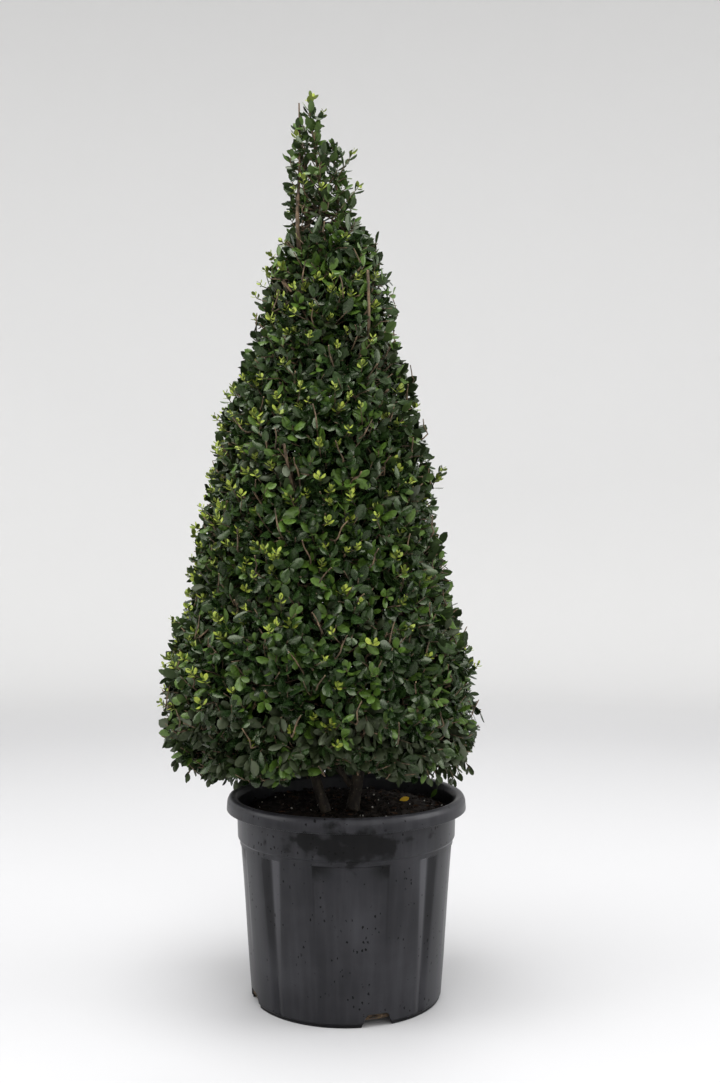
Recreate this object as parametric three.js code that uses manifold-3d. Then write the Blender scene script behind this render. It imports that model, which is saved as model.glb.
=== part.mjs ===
// Potted Japanese holly, a small-leaved evergreen clipped to a cone, in a black nursery pot.
// Sizes are millimetres and +Z is up. The origin is on the ground under the middle of the pot.
// The front of the plant faces -Y, and headings are radians from +X towards +Y.
import * as THREE from 'three';
import { mergeVertices } from 'three/addons/utils/BufferGeometryUtils.js';
import Module from 'manifold-3d';

const wasm = await Module();
wasm.setup();

const GAP = 0.3;
const DEGREE = Math.PI / 180;
const GOLDEN_TURN = Math.PI * (3 - Math.sqrt(5));
const UP = new THREE.Vector3(0, 0, 1);

// Pot: a thin moulded wall with a collar, a rolled rim and a raised floor.
const POT_SIDES = 48;
const POT_HEIGHT = 226;
const RIM_RADIUS = 135;
const COLLAR_RADIUS = 123.4;
const COLLAR_FOOT = 178;
const COLLAR_HEIGHT = 35;
const COLLAR_DRAFT = 1;
const COLLAR_CHAMFER = 2;
const BODY_TOP_RADIUS = 118.5;
const BODY_FOOT_RADIUS = 106.8;
const WALL = 2.6;
const FLOOR_UNDERSIDE = 6;
const FLOOR_TOP = 9;
const FOOT_INSET = 1.4;
const FOOT_HEIGHT = 3;
const PAD_RADIUS = 16;
const PAD_DRAFT = 1;

// Section of the rolled rim, from the collar over the edge to the inside of the wall.
// Each place is an inset from the rim's edge and a drop from its top.
const RIM_SECTION = [
  [8.6, 5],
  [4.4, 7],
  [2.6, 16],
  [0, 16],
  [0.8, 6],
  [2.8, 1.6],
  [6, 0],
  [10.6, 1.6],
  [13.6, 7],
];

// Pattern on the pot's body, four times round. Headings here are from the front towards +X.
const PATTERN_REPEATS = 4;
const PANEL_HEADING = 3 * DEGREE;
const PANEL_HALF_WIDTH = 20 * DEGREE;
const PANEL_DEPTH = 0.9;
const PATTERN_END = 7;
const FLUTE_HEADING = 48 * DEGREE;
const FLUTE_HALF_WIDTH = 7.5 * DEGREE;
const FLUTE_DEPTH = 1.5;
const NOTCH_HEADING = 18.6 * DEGREE;
const NOTCH_FOOT_WIDTH = 35;
const NOTCH_TOP_WIDTH = 24;
const NOTCH_HEIGHT = 14;
const NOTCH_CORNER = 4;
const NOTCH_START = 90;
const NOTCH_LENGTH = 40;

// Soil in the pot, flat in the middle and lower at the wall.
const SOIL_SIDES = 24;
const SOIL_TOP = 210;
const SOIL_FLAT_RADIUS = 62;
const SOIL_SHOULDER = 0.8;
const SOIL_SHOULDER_DROP = 1;
const SOIL_EDGE_DROP = 5;
const SOIL_CLEARANCE = 0.45;

// Crown: how far its axis stands along X at some heights, as the plant leans a little.
const CROWN_AXIS = [
  [-29, 600],
  [-22, 800],
  [-23, 862],
  [-42, 990],
];

// Radius and height of the clipped outline, from the underside up to the foot of the tip.
const CROWN_OUTLINE = [
  [92, 278],
  [150, 260],
  [172, 274],
  [179, 322],
  [170, 404],
  [152, 445],
  [113, 650],
  [53, 862],
];
const TIP_OUTLINE = [
  [53, 862],
  [37, 947],
  [26, 976],
  [9, 1008],
  [5, 1022],
];
const CROWN_TOP = 1022;
const CROWN_FOOT = 246;

// Tiers of foliage. A tier starts at the height "foot" on the outline, and its floor dips inwards.
// "hollow" is the open radius round the stems, "core" the height that its core starts at.
const FLOOR_RISE = 0.5;
const TIERS = [
  { name: 'skirt', foot: 246, sectors: 6, turn: 20, hollow: 78, core: 286, bough: 262, entry: 310 },
  { name: 'lower', foot: 430, sectors: 5, turn: 52, hollow: 54, core: 0, bough: 388, entry: 418 },
  { name: 'middle', foot: 600, sectors: 4, turn: 10, hollow: 36, core: 0, bough: 0, entry: 570 },
  { name: 'upper', foot: 745, sectors: 3, turn: 90, hollow: 26, core: 0, bough: 0, entry: 720 },
];
const TIP_FOOT = 868;
const SPACE_MARGIN = 0.6;
const OVERHANG = 9;

// Cores inside the foliage.
const CORE_DEPTH = 13;
const CORE_LUMP = 17;
const CORE_LEAST = 6;
const CORE_MARGIN = 1.4;
const CORE_PASSES = 12;
const CORE_STEPS = [6, 1, 5];

// Stems, boughs and twigs: radius at the foot and at the tip, and sides round.
const STEM_SIDES = 7;
const STEM_STEPS = 18;
const FLARE_SHARE = 0.045;
const TRUNK = { radius: 5.4, tipRadius: 2.2, sides: STEM_SIDES, flare: 3.4 };
const SECOND_STEM = { radius: 4.6, tipRadius: 2, sides: STEM_SIDES, flare: 2.6 };
const LEFT_LEADER = { radius: 3.7, tipRadius: 2, sides: STEM_SIDES };
const BOUGH_STEPS = 3;
const BOUGH_REACH = 16;
const BOUGH_SAG = 6;
const BOUGH_BEND = 0.6;
const BOUGH = { radius: 3.4, tipRadius: 2.4, sides: 6 };
const MASS_STEM_STRAIGHT = 10;
const MASS_STEM = { radius: 2.2, tipRadius: 1.8, sides: 5 };
const TWIG_SIDES = 3;
const TWIG = { radius: 1.9, tipRadius: 1.5 };
const TIP_STEM_STEPS = 4;
const TIP_STEM = { radius: 1.9, tipRadius: 1.4, sides: 5 };
const TIP_TWIG = { radius: 1.3, tipRadius: 1.1 };

// Places that the upright stems bend through. The left leader forks from the trunk.
const FOOT_LEVEL = SOIL_TOP + GAP;
const FORK_HEIGHT = 232;
const TRUNK_ROUTE = [
  [7, -20, FOOT_LEVEL],
  [8, -20, 226],
  [15, -15, 256],
  [19, -2, 330],
  [3, 9, 450],
  [-8, 10, 600],
  [-10, 10, 760],
  [-10, 9, 872],
];
const SECOND_ROUTE = [
  [-22, -32, FOOT_LEVEL],
  [-24, -31, 224],
  [-34, -26, 246],
  [-48, -10, 300],
  [-52, 4, 420],
  [-46, 9, 600],
  [-41, 9, 760],
  [-43, 8, 872],
];
const LEADER_ROUTE = [
  [-10, -19, 255],
  [-20, -15, 285],
  [-28, -10, 370],
  [-31, -11, 500],
  [-30, -12, 700],
  [-29, -13, 880],
];

// Twigs over the clipped surface, with leaves round their tips.
const TWIG_COUNT = 196;
const TWIG_SCATTER = 0.2;
const TWIG_TIP_DEPTH = 14;
const TWIG_TIP_SPREAD = 7;
const TWIG_KNEE = 26;
const TWIG_LIFT = 0.45;
const TWIG_OUT = 0.5;
const TWIG_START = [0.6, 0.95];
const TWIG_WALL_MARGIN = 8;
const LEAF_LENGTH = 36;
const LEAF_WIDTH = 21;
const LEAF_WIDEST = 0.58;
const LEAF_THICKNESS = 1.4;
const LEAF_ROOT = 2.4;
const LEAF_SPREAD = [0.75, 1.25];
const LEAF_TURNS = 6;

// Shoots that have outgrown the clipping: heading, height and how far they stand out.
const STRAY_SHOOTS = [
  { heading: -12 * DEGREE, height: 578, reach: 13 },
  { heading: 176 * DEGREE, height: 640, reach: 10 },
];
const STRAY_WITHIN = 32;

// Twigs of the open tip, up the end of each upright stem.
const TIP_TWIGS = 11;
const TIP_TWIG_LENGTH = [24, 7];
const TIP_TWIG_LIFT = 0.8;
const TIP_LEAF_SCALE = 0.66;
const TIP_END_DEPTH = 24;
const TIP_SHOOT = 4;
const TIP_STRAIGHT = 20;
const TIP_FIRST = 0.6;
const TIP_ENDS = {
  right: [-16, 9, 986],
  left: [-54, 8, 1009],
  middle: [-42, -8, CROWN_TOP],
};

const CORE_SEED = 800;
const TIER_SEEDS = 10;
const TIP_SEED = 900;

const FINISH = { roughness: 0.6, metalness: 0 };
const COLOURS = {
  pot: 0x1c1c1d,
  soil: 0x2b221b,
  bark: 0x6d5741,
  foliage: 0x33502b,
};

// Repeatable numbers from 0 to 1, a fresh run of them for each seed.
const SEED_SPREAD = 2654435761;
const SEED_FACTOR = 1664525;
const SEED_STEP = 1013904223;
const SEED_RANGE = 2 ** 32;

function dealer(seed) {
  let state = Math.imul(seed + 1, SEED_SPREAD) >>> 0;
  return () => {
    state = (Math.imul(state, SEED_FACTOR) + SEED_STEP) >>> 0;
    return state / SEED_RANGE;
  };
}

function mix(from, to, share) {
  return from + (to - from) * share;
}

function turned(angle) {
  return Math.atan2(Math.sin(angle), Math.cos(angle));
}

// Closed geometry to a solid, and back.
const WELD = 1e-4;
const WELD_GRIDS = [
  [1e4, 0],
  [1e4, 0.5],
  [1e3, 0],
  [1e3, 0.5],
];

function solid(geometry) {
  const bare = new THREE.BufferGeometry();
  bare.setAttribute('position', geometry.getAttribute('position').clone());
  bare.setIndex(geometry.index);
  const welded = mergeVertices(bare, WELD);
  return new wasm.Manifold(new wasm.Mesh({
    numProp: 3,
    vertProperties: welded.attributes.position.array,
    triVerts: new Uint32Array(welded.index.array),
  }));
}

function geometryOf(body) {
  const mesh = body.getMesh();
  const geometry = new THREE.BufferGeometry();
  geometry.setAttribute('position', new THREE.BufferAttribute(mesh.vertProperties, mesh.numProp));
  geometry.setIndex(new THREE.BufferAttribute(mesh.triVerts, 1));
  const faceted = geometry.toNonIndexed();
  faceted.computeVertexNormals();
  return faceted;
}

function largestBody(body) {
  const pieces = body.decompose();
  return pieces.reduce((best, piece) => (piece.volume() > best.volume() ? piece : best));
}

// Profile of radius and height turned round the pot's axis, with its seam on a side of the pattern.
const PATTERN_START = FLUTE_HEADING - FLUTE_HALF_WIDTH;

function turnedSolid(profile, sides) {
  const points = profile.map(([radius, height]) => new THREE.Vector2(radius, height));
  const geometry = new THREE.LatheGeometry(points, sides, PATTERN_START);
  geometry.rotateX(Math.PI / 2);
  return geometry;
}

// Depth of the pattern on the pot's body at a heading from the front.
function patternDepth(heading) {
  const period = (2 * Math.PI) / PATTERN_REPEATS;
  const away = (centre) => {
    const offset = (heading - centre) / period;
    return Math.abs(offset - Math.round(offset)) * period;
  };
  if (away(PANEL_HEADING) < PANEL_HALF_WIDTH) {
    return PANEL_DEPTH;
  }
  return FLUTE_DEPTH * Math.max(0, 1 - away(FLUTE_HEADING) / FLUTE_HALF_WIDTH);
}

function potInnerRadius(height) {
  const share = (height - FLOOR_TOP) / (COLLAR_FOOT - FLOOR_TOP);
  return mix(BODY_FOOT_RADIUS, BODY_TOP_RADIUS, share) - WALL;
}

function pot() {
  const footRadius = BODY_FOOT_RADIUS - FOOT_INSET;
  const wallRows = [
    [BODY_FOOT_RADIUS, FOOT_HEIGHT + FOOT_INSET],
    [BODY_TOP_RADIUS, COLLAR_FOOT - PATTERN_END],
  ];
  const profile = [
    [0, 0],
    [PAD_RADIUS, 0],
    [PAD_RADIUS + PAD_DRAFT, FLOOR_UNDERSIDE],
    [footRadius - WALL, FLOOR_UNDERSIDE],
    [footRadius - WALL, 0],
    [footRadius, 0],
    [footRadius, FOOT_HEIGHT],
    ...wallRows,
    [BODY_TOP_RADIUS, COLLAR_FOOT - COLLAR_CHAMFER],
    [COLLAR_RADIUS - COLLAR_DRAFT, COLLAR_FOOT],
    [COLLAR_RADIUS, COLLAR_FOOT + COLLAR_HEIGHT],
    ...RIM_SECTION.map(([inset, drop]) => [RIM_RADIUS - inset, POT_HEIGHT - drop]),
    [potInnerRadius(COLLAR_FOOT), COLLAR_FOOT],
    [potInnerRadius(FLOOR_TOP), FLOOR_TOP],
    [0, FLOOR_TOP],
  ];
  const geometry = turnedSolid(profile, POT_SIDES);
  const firstRow = profile.indexOf(wallRows[0]);
  const place = geometry.attributes.position;
  for (let i = 0; i < place.count; i += 1) {
    const row = i % profile.length;
    if (row === firstRow || row === firstRow + 1) {
      const heading = Math.atan2(place.getX(i), -place.getY(i));
      const radius = Math.hypot(place.getX(i), place.getY(i));
      const shrink = (radius - patternDepth(heading)) / radius;
      place.setXY(i, place.getX(i) * shrink, place.getY(i) * shrink);
    }
  }
  let body = solid(geometry);
  for (let k = 0; k < PATTERN_REPEATS; k += 1) {
    const heading = NOTCH_HEADING + (k * 2 * Math.PI) / PATTERN_REPEATS;
    body = body.subtract(solid(drainNotch().rotateZ(heading)));
  }
  return geometryOf(body);
}

// Prism that cuts one drain notch at the front of the pot's foot.
function drainNotch() {
  const foot = NOTCH_FOOT_WIDTH / 2;
  const top = NOTCH_TOP_WIDTH / 2;
  const shoulder = NOTCH_HEIGHT - NOTCH_CORNER;
  const shape = new THREE.Shape();
  shape.moveTo(-foot, -1);
  shape.lineTo(foot, -1);
  shape.lineTo(top, shoulder);
  shape.quadraticCurveTo(top, NOTCH_HEIGHT, top - NOTCH_CORNER, NOTCH_HEIGHT);
  shape.lineTo(NOTCH_CORNER - top, NOTCH_HEIGHT);
  shape.quadraticCurveTo(-top, NOTCH_HEIGHT, -top, shoulder);
  shape.closePath();
  const settings = { depth: NOTCH_LENGTH, bevelEnabled: false, curveSegments: 4 };
  const prism = new THREE.ExtrudeGeometry(shape, settings);
  return prism.rotateX(Math.PI / 2).translate(0, -NOTCH_START, 0);
}

function soil() {
  const edge = SOIL_TOP - SOIL_EDGE_DROP;
  const [inset, drop] = RIM_SECTION.at(-1);
  const collarShare = (edge - COLLAR_FOOT) / (POT_HEIGHT - drop - COLLAR_FOOT);
  const edgeRadius = mix(potInnerRadius(COLLAR_FOOT), RIM_RADIUS - inset, collarShare);
  return turnedSolid([
    [0, FLOOR_TOP + GAP],
    [potInnerRadius(FLOOR_TOP) - SOIL_CLEARANCE, FLOOR_TOP + GAP],
    [potInnerRadius(COLLAR_FOOT) - SOIL_CLEARANCE, COLLAR_FOOT],
    [edgeRadius - SOIL_CLEARANCE, edge],
    [mix(SOIL_FLAT_RADIUS, edgeRadius, SOIL_SHOULDER), SOIL_TOP - SOIL_SHOULDER_DROP],
    [SOIL_FLAT_RADIUS, SOIL_TOP],
    [0, SOIL_TOP],
  ], SOIL_SIDES);
}

// A tapering limb of straight steps through the centres of its rings.
// A limb with a flare stands on the soil, so its foot is cut level.
class Limb {
  constructor(centres, { radius, tipRadius, sides, flare = 0 }) {
    this.centres = centres;
    this.steps = centres.length - 1;
    this.radius = radius;
    this.tipRadius = tipRadius;
    this.sides = sides;
    this.flare = flare;
    const normal = new THREE.Vector3(1, 1, 0);
    this.frames = centres.map((_, ring) => {
      const along = this.ringDirection(ring);
      normal.addScaledVector(along, -normal.dot(along)).normalize();
      return { normal: normal.clone(), across: normal.clone().cross(along) };
    });
  }

  ringRadius(ring) {
    const share = ring / this.steps;
    return mix(this.radius, this.tipRadius, share) + this.flare * Math.exp(-share / FLARE_SHARE);
  }

  ringDirection(ring) {
    const from = this.centres[Math.max(ring - 1, 0)];
    const to = this.centres[Math.min(ring + 1, this.steps)];
    return to.clone().sub(from).normalize();
  }

  // Centre, direction and radius of the straight step that passes a share of the length.
  at(share) {
    const ring = Math.min(Math.floor(share * this.steps), this.steps - 1);
    const part = share * this.steps - ring;
    const [from, to] = this.centres.slice(ring, ring + 2);
    return {
      centre: from.clone().lerp(to, part),
      along: to.clone().sub(from).normalize(),
      radius: mix(this.ringRadius(ring), this.ringRadius(ring + 1), part),
    };
  }

  // Distance from the centre to the flat side that faces a direction.
  girth(share, direction) {
    const { normal, across } = this.frames[Math.round(share * this.steps)];
    const half = Math.PI / this.sides;
    const side = Math.atan2(direction.dot(normal), direction.dot(across)) / (2 * half) - 0.5;
    const offset = (side - Math.round(side)) * 2 * half;
    return (this.at(share).radius * Math.cos(half)) / Math.cos(offset);
  }

  // Share of the length at which a rising limb passes a height.
  shareAt(height) {
    let ring = 0;
    while (ring < this.steps - 1 && this.centres[ring + 1].z < height) {
      ring += 1;
    }
    const [from, to] = this.centres.slice(ring, ring + 2);
    return (ring + (height - from.z) / (to.z - from.z)) / this.steps;
  }

  geometry() {
    const tube = new THREE.CylinderGeometry(1, 1, 1, this.sides, this.steps);
    const place = tube.attributes.position;
    for (let i = 0; i < place.count; i += 1) {
      const ring = Math.round((place.getY(i) + 0.5) * this.steps);
      const radius = this.ringRadius(ring);
      const point = this.centres[ring].clone();
      point.addScaledVector(this.frames[ring].normal, place.getX(i) * radius);
      point.addScaledVector(this.frames[ring].across, place.getZ(i) * radius);
      if (this.flare && ring === 0) {
        point.z = this.centres[0].z;
      }
      place.setXYZ(i, point.x, point.y, point.z);
    }
    return tube;
  }
}

// Evenly spaced centres along a smooth curve through a few places.
function smooth(places, steps) {
  return new THREE.CatmullRomCurve3(places).getSpacedPoints(steps);
}

// Upright stems, from a flat cut on the soil. The left leader forks from the trunk.
function route(places) {
  return places.map((place) => new THREE.Vector3(...place));
}

const trunk = new Limb(smooth(route(TRUNK_ROUTE), STEM_STEPS), TRUNK);
const secondStem = new Limb(smooth(route(SECOND_ROUTE), STEM_STEPS), SECOND_STEM);

// Place on a limb's side from which another limb of some radius sets out towards a goal.
function startOnSide(limb, height, goal, radius) {
  const share = limb.shareAt(height);
  const { centre, along } = limb.at(share);
  const heading = goal.clone().sub(centre).normalize();
  const cosine = Math.abs(heading.dot(along));
  const sine = Math.sqrt(1 - cosine * cosine);
  const distance = (limb.girth(share, heading) + GAP + radius * cosine) / sine;
  return centre.addScaledVector(heading, distance);
}

const leaderRoute = route(LEADER_ROUTE);
const leaderStart = startOnSide(trunk, FORK_HEIGHT, leaderRoute[0], LEFT_LEADER.radius);
const leftLeader = new Limb(smooth([leaderStart, ...leaderRoute], STEM_STEPS), LEFT_LEADER);
const UPRIGHTS = [trunk, secondStem, leftLeader];

// Value at a height in a list of values and rising heights, level beyond its ends.
function valueAt(list, height) {
  const next = list.findIndex(([, top]) => height <= top);
  if (next < 1) {
    return list.at(next)[0];
  }
  const [from, foot] = list[next - 1];
  const [to, top] = list[next];
  return mix(from, to, (height - foot) / (top - foot));
}

// Places round the crown's axis.
function axisX(height) {
  return valueAt(CROWN_AXIS, height);
}

function crownPoint(heading, radius, height) {
  const x = axisX(height) + radius * Math.cos(heading);
  return new THREE.Vector3(x, radius * Math.sin(heading), height);
}

function crownPlace(point) {
  const x = point.x - axisX(point.z);
  return { radius: Math.hypot(x, point.y), heading: Math.atan2(point.y, x) };
}

const WHOLE_OUTLINE = [...CROWN_OUTLINE.slice(1, -1), ...TIP_OUTLINE];

function outlineRadius(height) {
  return valueAt(WHOLE_OUTLINE, height);
}

// Place and outward direction on the clipped surface at a share of its area from the underside up.
const BANDS = CROWN_OUTLINE.slice(1).map(([radius, height], i) => {
  const [lastRadius, foot] = CROWN_OUTLINE[i];
  const slant = Math.hypot(radius - lastRadius, height - foot);
  const area = Math.PI * (radius + lastRadius) * slant;
  return { radius, height, lastRadius, foot, slant, area };
});
const CROWN_AREA = BANDS.reduce((sum, band) => sum + band.area, 0);

function surfaceAt(share) {
  let area = share * CROWN_AREA;
  let index = 0;
  while (index < BANDS.length - 1 && area > BANDS[index].area) {
    area -= BANDS[index].area;
    index += 1;
  }
  const band = BANDS[index];
  const grow = band.radius - band.lastRadius;
  const root = Math.sqrt(band.lastRadius ** 2 + (grow * area) / (Math.PI * band.slant));
  const part = (root - band.lastRadius) / grow;
  return {
    radius: mix(band.lastRadius, band.radius, part),
    height: mix(band.foot, band.height, part),
    outward: (band.height - band.foot) / band.slant,
    upward: -grow / band.slant,
  };
}

// Floor of a tier at a radius from the crown's axis.
function tierFloor(index, radius) {
  if (index === 0) {
    return CROWN_FOOT;
  }
  const foot = index < TIERS.length ? TIERS[index].foot : TIP_FOOT;
  return foot + FLOOR_RISE * (radius - outlineRadius(foot));
}

// Space that one mass of foliage keeps to: a tier between two floors, and a sector of it.
class Space {
  constructor(tier, sector) {
    const { sectors, turn } = TIERS[tier];
    this.tier = tier;
    this.heading = turn * DEGREE + (sector * 2 * Math.PI) / sectors;
    this.half = Math.PI / sectors;
    this.stray = 0;
  }

  floor(radius) {
    return tierFloor(this.tier, radius);
  }

  ceiling(radius) {
    return tierFloor(this.tier + 1, radius);
  }

  holds(point, margin) {
    const { radius, heading } = crownPlace(point);
    const side = radius * Math.sin(Math.min(Math.PI / 2, this.half - this.offset(heading)));
    return side > margin
      && point.z > this.floor(radius) + margin
      && point.z < this.ceiling(radius) - margin;
  }

  offset(heading) {
    return Math.abs(turned(heading - this.heading));
  }
}

// Space of an open tip: what lies nearer to its own stem than to the other tips' stems.
class TipSpace {
  constructor(tip, others) {
    this.tip = tip;
    this.others = others;
    this.stray = 0;
  }

  holds(point, margin) {
    const away = ({ foot, top }) => {
      const share = Math.min(1, Math.max(0, (point.z - foot.z) / (top.z - foot.z)));
      return foot.clone().lerp(top, share).distanceTo(point);
    };
    const own = away(this.tip);
    const { radius } = crownPlace(point);
    return point.z > tierFloor(TIERS.length, radius) + margin
      && point.z < CROWN_TOP + margin
      && this.others.every((other) => away(other) > own + 2 * margin);
  }
}

// Faces and corners of a closed surface, gathered piece by piece.
class Surface {
  constructor() {
    this.corners = [];
    this.faces = [];
  }

  add(...points) {
    const first = this.corners.length;
    this.corners.push(...points);
    return points.map((_, index) => first + index);
  }

  geometry() {
    const geometry = new THREE.BufferGeometry().setFromPoints(this.corners);
    return geometry.setIndex(this.faces.flat());
  }
}

// Left edge, right edge and tip of a leaf that grows from a root, with its upper side to face.
function leafCorners(root, reach, face, scale) {
  const right = new THREE.Vector3().crossVectors(face, reach);
  const widest = root.clone().addScaledVector(reach, LEAF_LENGTH * LEAF_WIDEST * scale);
  widest.addScaledVector(face, -LEAF_THICKNESS);
  const half = (LEAF_WIDTH / 2) * scale;
  return [
    widest.clone().addScaledVector(right, -half),
    widest.clone().addScaledVector(right, half),
    root.clone().addScaledVector(reach, LEAF_LENGTH * scale),
  ];
}

function leafFits(corners, space) {
  return corners.every((point) => {
    const { radius } = crownPlace(point);
    const inside = radius < outlineRadius(point.z) + OVERHANG + space.stray;
    return inside && space.holds(point, SPACE_MARGIN);
  });
}

// Three-sided twig through the centres, with a leaf out of each side of its last step and one at
// its end. A leaf that would leave the space is left off. Returns the surface and its leaf count.
function spray(centres, form, { roll, spread, scale }, space) {
  const surface = new Surface();
  const last = centres.length - 1;
  const along = centres[last].clone().sub(centres[last - 1]).normalize();
  const side = new THREE.Vector3().crossVectors(along, UP).normalize().applyAxisAngle(along, roll);
  const outward = (turns) => side.clone().applyAxisAngle(along, turns * 2 * Math.PI / TWIG_SIDES);
  const stations = [...centres.slice(0, last), centres[last].clone().addScaledVector(along, -LEAF_ROOT)];
  stations.push(centres[last]);
  const rings = stations.map((centre, ring) => {
    const radius = mix(form.radius, form.tipRadius, ring / (stations.length - 1));
    const corner = (k) => centre.clone().addScaledVector(outward(k), radius);
    return surface.add(corner(0), corner(1), corner(2));
  });
  surface.faces.push([rings[0][2], rings[0][1], rings[0][0]]);
  let leaves = 0;
  for (let ring = 0; ring < rings.length - 1; ring += 1) {
    for (let k = 0; k < TWIG_SIDES; k += 1) {
      const next = (k + 1) % TWIG_SIDES;
      const [a, b] = [rings[ring][k], rings[ring][next]];
      const [c, d] = [rings[ring + 1][k], rings[ring + 1][next]];
      const out = outward(k + 0.5);
      const reach = along.clone().multiplyScalar(Math.cos(spread)).addScaledVector(out, Math.sin(spread));
      const face = along.clone().multiplyScalar(Math.sin(spread)).addScaledVector(out, -Math.cos(spread));
      const leaf = leafCorners(stations[ring + 1], reach, face, scale);
      if (ring === rings.length - 2 && leafFits(leaf, space)) {
        const [left, right, tip] = surface.add(...leaf);
        surface.faces.push([a, left, c], [b, d, right], [c, left, tip], [d, c, tip], [d, tip, right]);
        surface.faces.push([a, b, right], [a, right, left], [left, right, tip]);
        leaves += 1;
      } else {
        surface.faces.push([a, b, d], [a, d, c]);
      }
    }
  }
  const [a, b, c] = rings[rings.length - 1];
  const leaf = leafCorners(centres[last], along, outward(2), scale);
  if (leafFits(leaf, space)) {
    const [left, right, tip] = surface.add(...leaf);
    surface.faces.push([a, left, c], [b, c, right], [c, left, tip], [c, tip, right]);
    surface.faces.push([a, b, right], [a, right, left], [left, right, tip]);
    leaves += 1;
  } else {
    surface.faces.push([a, b, c]);
  }
  return { surface, leaves };
}

// Spray turned to the place where most of its leaves keep to the space.
function bestSpray(centres, form, scale, space, deal) {
  const spread = mix(...LEAF_SPREAD, deal());
  const first = deal() * Math.PI;
  let best = { leaves: -1 };
  for (let turn = 0; turn < LEAF_TURNS; turn += 1) {
    const made = spray(centres, form, { roll: first + turn * GOLDEN_TURN, spread, scale }, space);
    if (made.leaves > best.leaves) {
      best = made;
    }
  }
  return solid(best.surface.geometry());
}

// One twig of the clipped surface: where it ends, which way is out, and how deep its tip stays.
function surfaceTwig(index) {
  const deal = dealer(index);
  const surface = surfaceAt((index + 0.5) / TWIG_COUNT);
  const heading = turned(index * GOLDEN_TURN + (deal() - 0.5) * TWIG_SCATTER);
  const depth = TWIG_TIP_DEPTH + (deal() - 0.5) * TWIG_TIP_SPREAD;
  return { ...surface, deal, heading, depth };
}

function tierOf(twig) {
  let tier = 0;
  while (tier < TIERS.length - 1 && twig.height > tierFloor(tier + 1, twig.radius)) {
    tier += 1;
  }
  return tier;
}

// Twigs are kept a little off the walls of their space.
function settle(twig, space) {
  const room = space.half - TWIG_WALL_MARGIN / twig.radius;
  const offset = turned(twig.heading - space.heading);
  const heading = space.heading + Math.min(room, Math.max(-room, offset));
  const floor = space.floor(twig.radius) + TWIG_WALL_MARGIN;
  const ceiling = space.ceiling(twig.radius) - TWIG_WALL_MARGIN;
  const height = Math.min(ceiling, Math.max(floor, twig.height));
  const radius = height === twig.height ? twig.radius : outlineRadius(height);
  return { ...twig, heading, height, radius };
}

function strayReach(twig) {
  for (const shoot of STRAY_SHOOTS) {
    const round = Math.abs(turned(twig.heading - shoot.heading)) * twig.radius;
    if (Math.hypot(round, twig.height - shoot.height) < STRAY_WITHIN) {
      return shoot.reach;
    }
  }
  return 0;
}

function growTwig(twig, stem, space) {
  space.stray = strayReach(twig);
  const spread = twig.outward + TWIG_OUT;
  const along = new THREE.Vector3(
    spread * Math.cos(twig.heading),
    spread * Math.sin(twig.heading),
    twig.upward + TWIG_LIFT,
  ).normalize();
  const tip = crownPoint(twig.heading, twig.radius, twig.height);
  tip.addScaledVector(along, space.stray - twig.depth);
  const knee = tip.clone().addScaledVector(along, -TWIG_KNEE - space.stray);
  const start = stem.at(mix(...TWIG_START, twig.deal())).centre;
  return bestSpray([start, knee, tip], TWIG, 1, space, twig.deal);
}

// Core of a mass: a block bent round the crown's axis, with a lumpy outer side.
function core(space, tier, deal) {
  const block = new THREE.BoxGeometry(1, 1, 1, ...CORE_STEPS);
  const welded = mergeVertices(block.deleteAttribute('normal').deleteAttribute('uv'), WELD);
  const place = welded.attributes.position;
  for (let i = 0; i < place.count; i += 1) {
    const outer = place.getY(i) > 0;
    const inset = CORE_DEPTH + deal() * CORE_LUMP;
    let radius = tier.hollow;
    let height = 0;
    for (let pass = 0; pass < CORE_PASSES; pass += 1) {
      const floor = Math.max(space.floor(radius) + CORE_MARGIN, tier.core);
      height = mix(floor, space.ceiling(radius) - CORE_MARGIN, place.getZ(i) + 0.5);
      const reach = Math.max(outlineRadius(height) - inset, tier.hollow + CORE_LEAST);
      radius = outer ? reach : tier.hollow;
    }
    const room = space.half - CORE_MARGIN / radius;
    const point = crownPoint(space.heading - 2 * place.getX(i) * room, radius, height);
    place.setXYZ(i, point.x, point.y, point.z);
  }
  return solid(welded);
}

function nearestUpright(point, height) {
  const distance = (limb) => {
    const { centre } = limb.at(limb.shareAt(height));
    return Math.hypot(centre.x - point.x, centre.y - point.y);
  };
  return UPRIGHTS.reduce((best, limb) => (distance(limb) < distance(best) ? limb : best));
}

// Bough from an upright stem, out and then up to the place where it enters its mass.
function boughTo(entry, height) {
  const from = nearestUpright(entry, height);
  const { centre } = from.at(from.shareAt(height));
  const bend = centre.lerp(entry, BOUGH_BEND);
  bend.z -= BOUGH_SAG;
  const start = startOnSide(from, height, bend, BOUGH.radius);
  return new Limb(smooth([start, bend, entry], BOUGH_STEPS), BOUGH);
}

// Stem of a mass, which sets out straight from its start and then turns to its goal.
function massStem(start, along, goal) {
  const bend = start.clone().addScaledVector(along, MASS_STEM_STRAIGHT);
  return new Limb([start, bend, goal], MASS_STEM);
}

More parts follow.
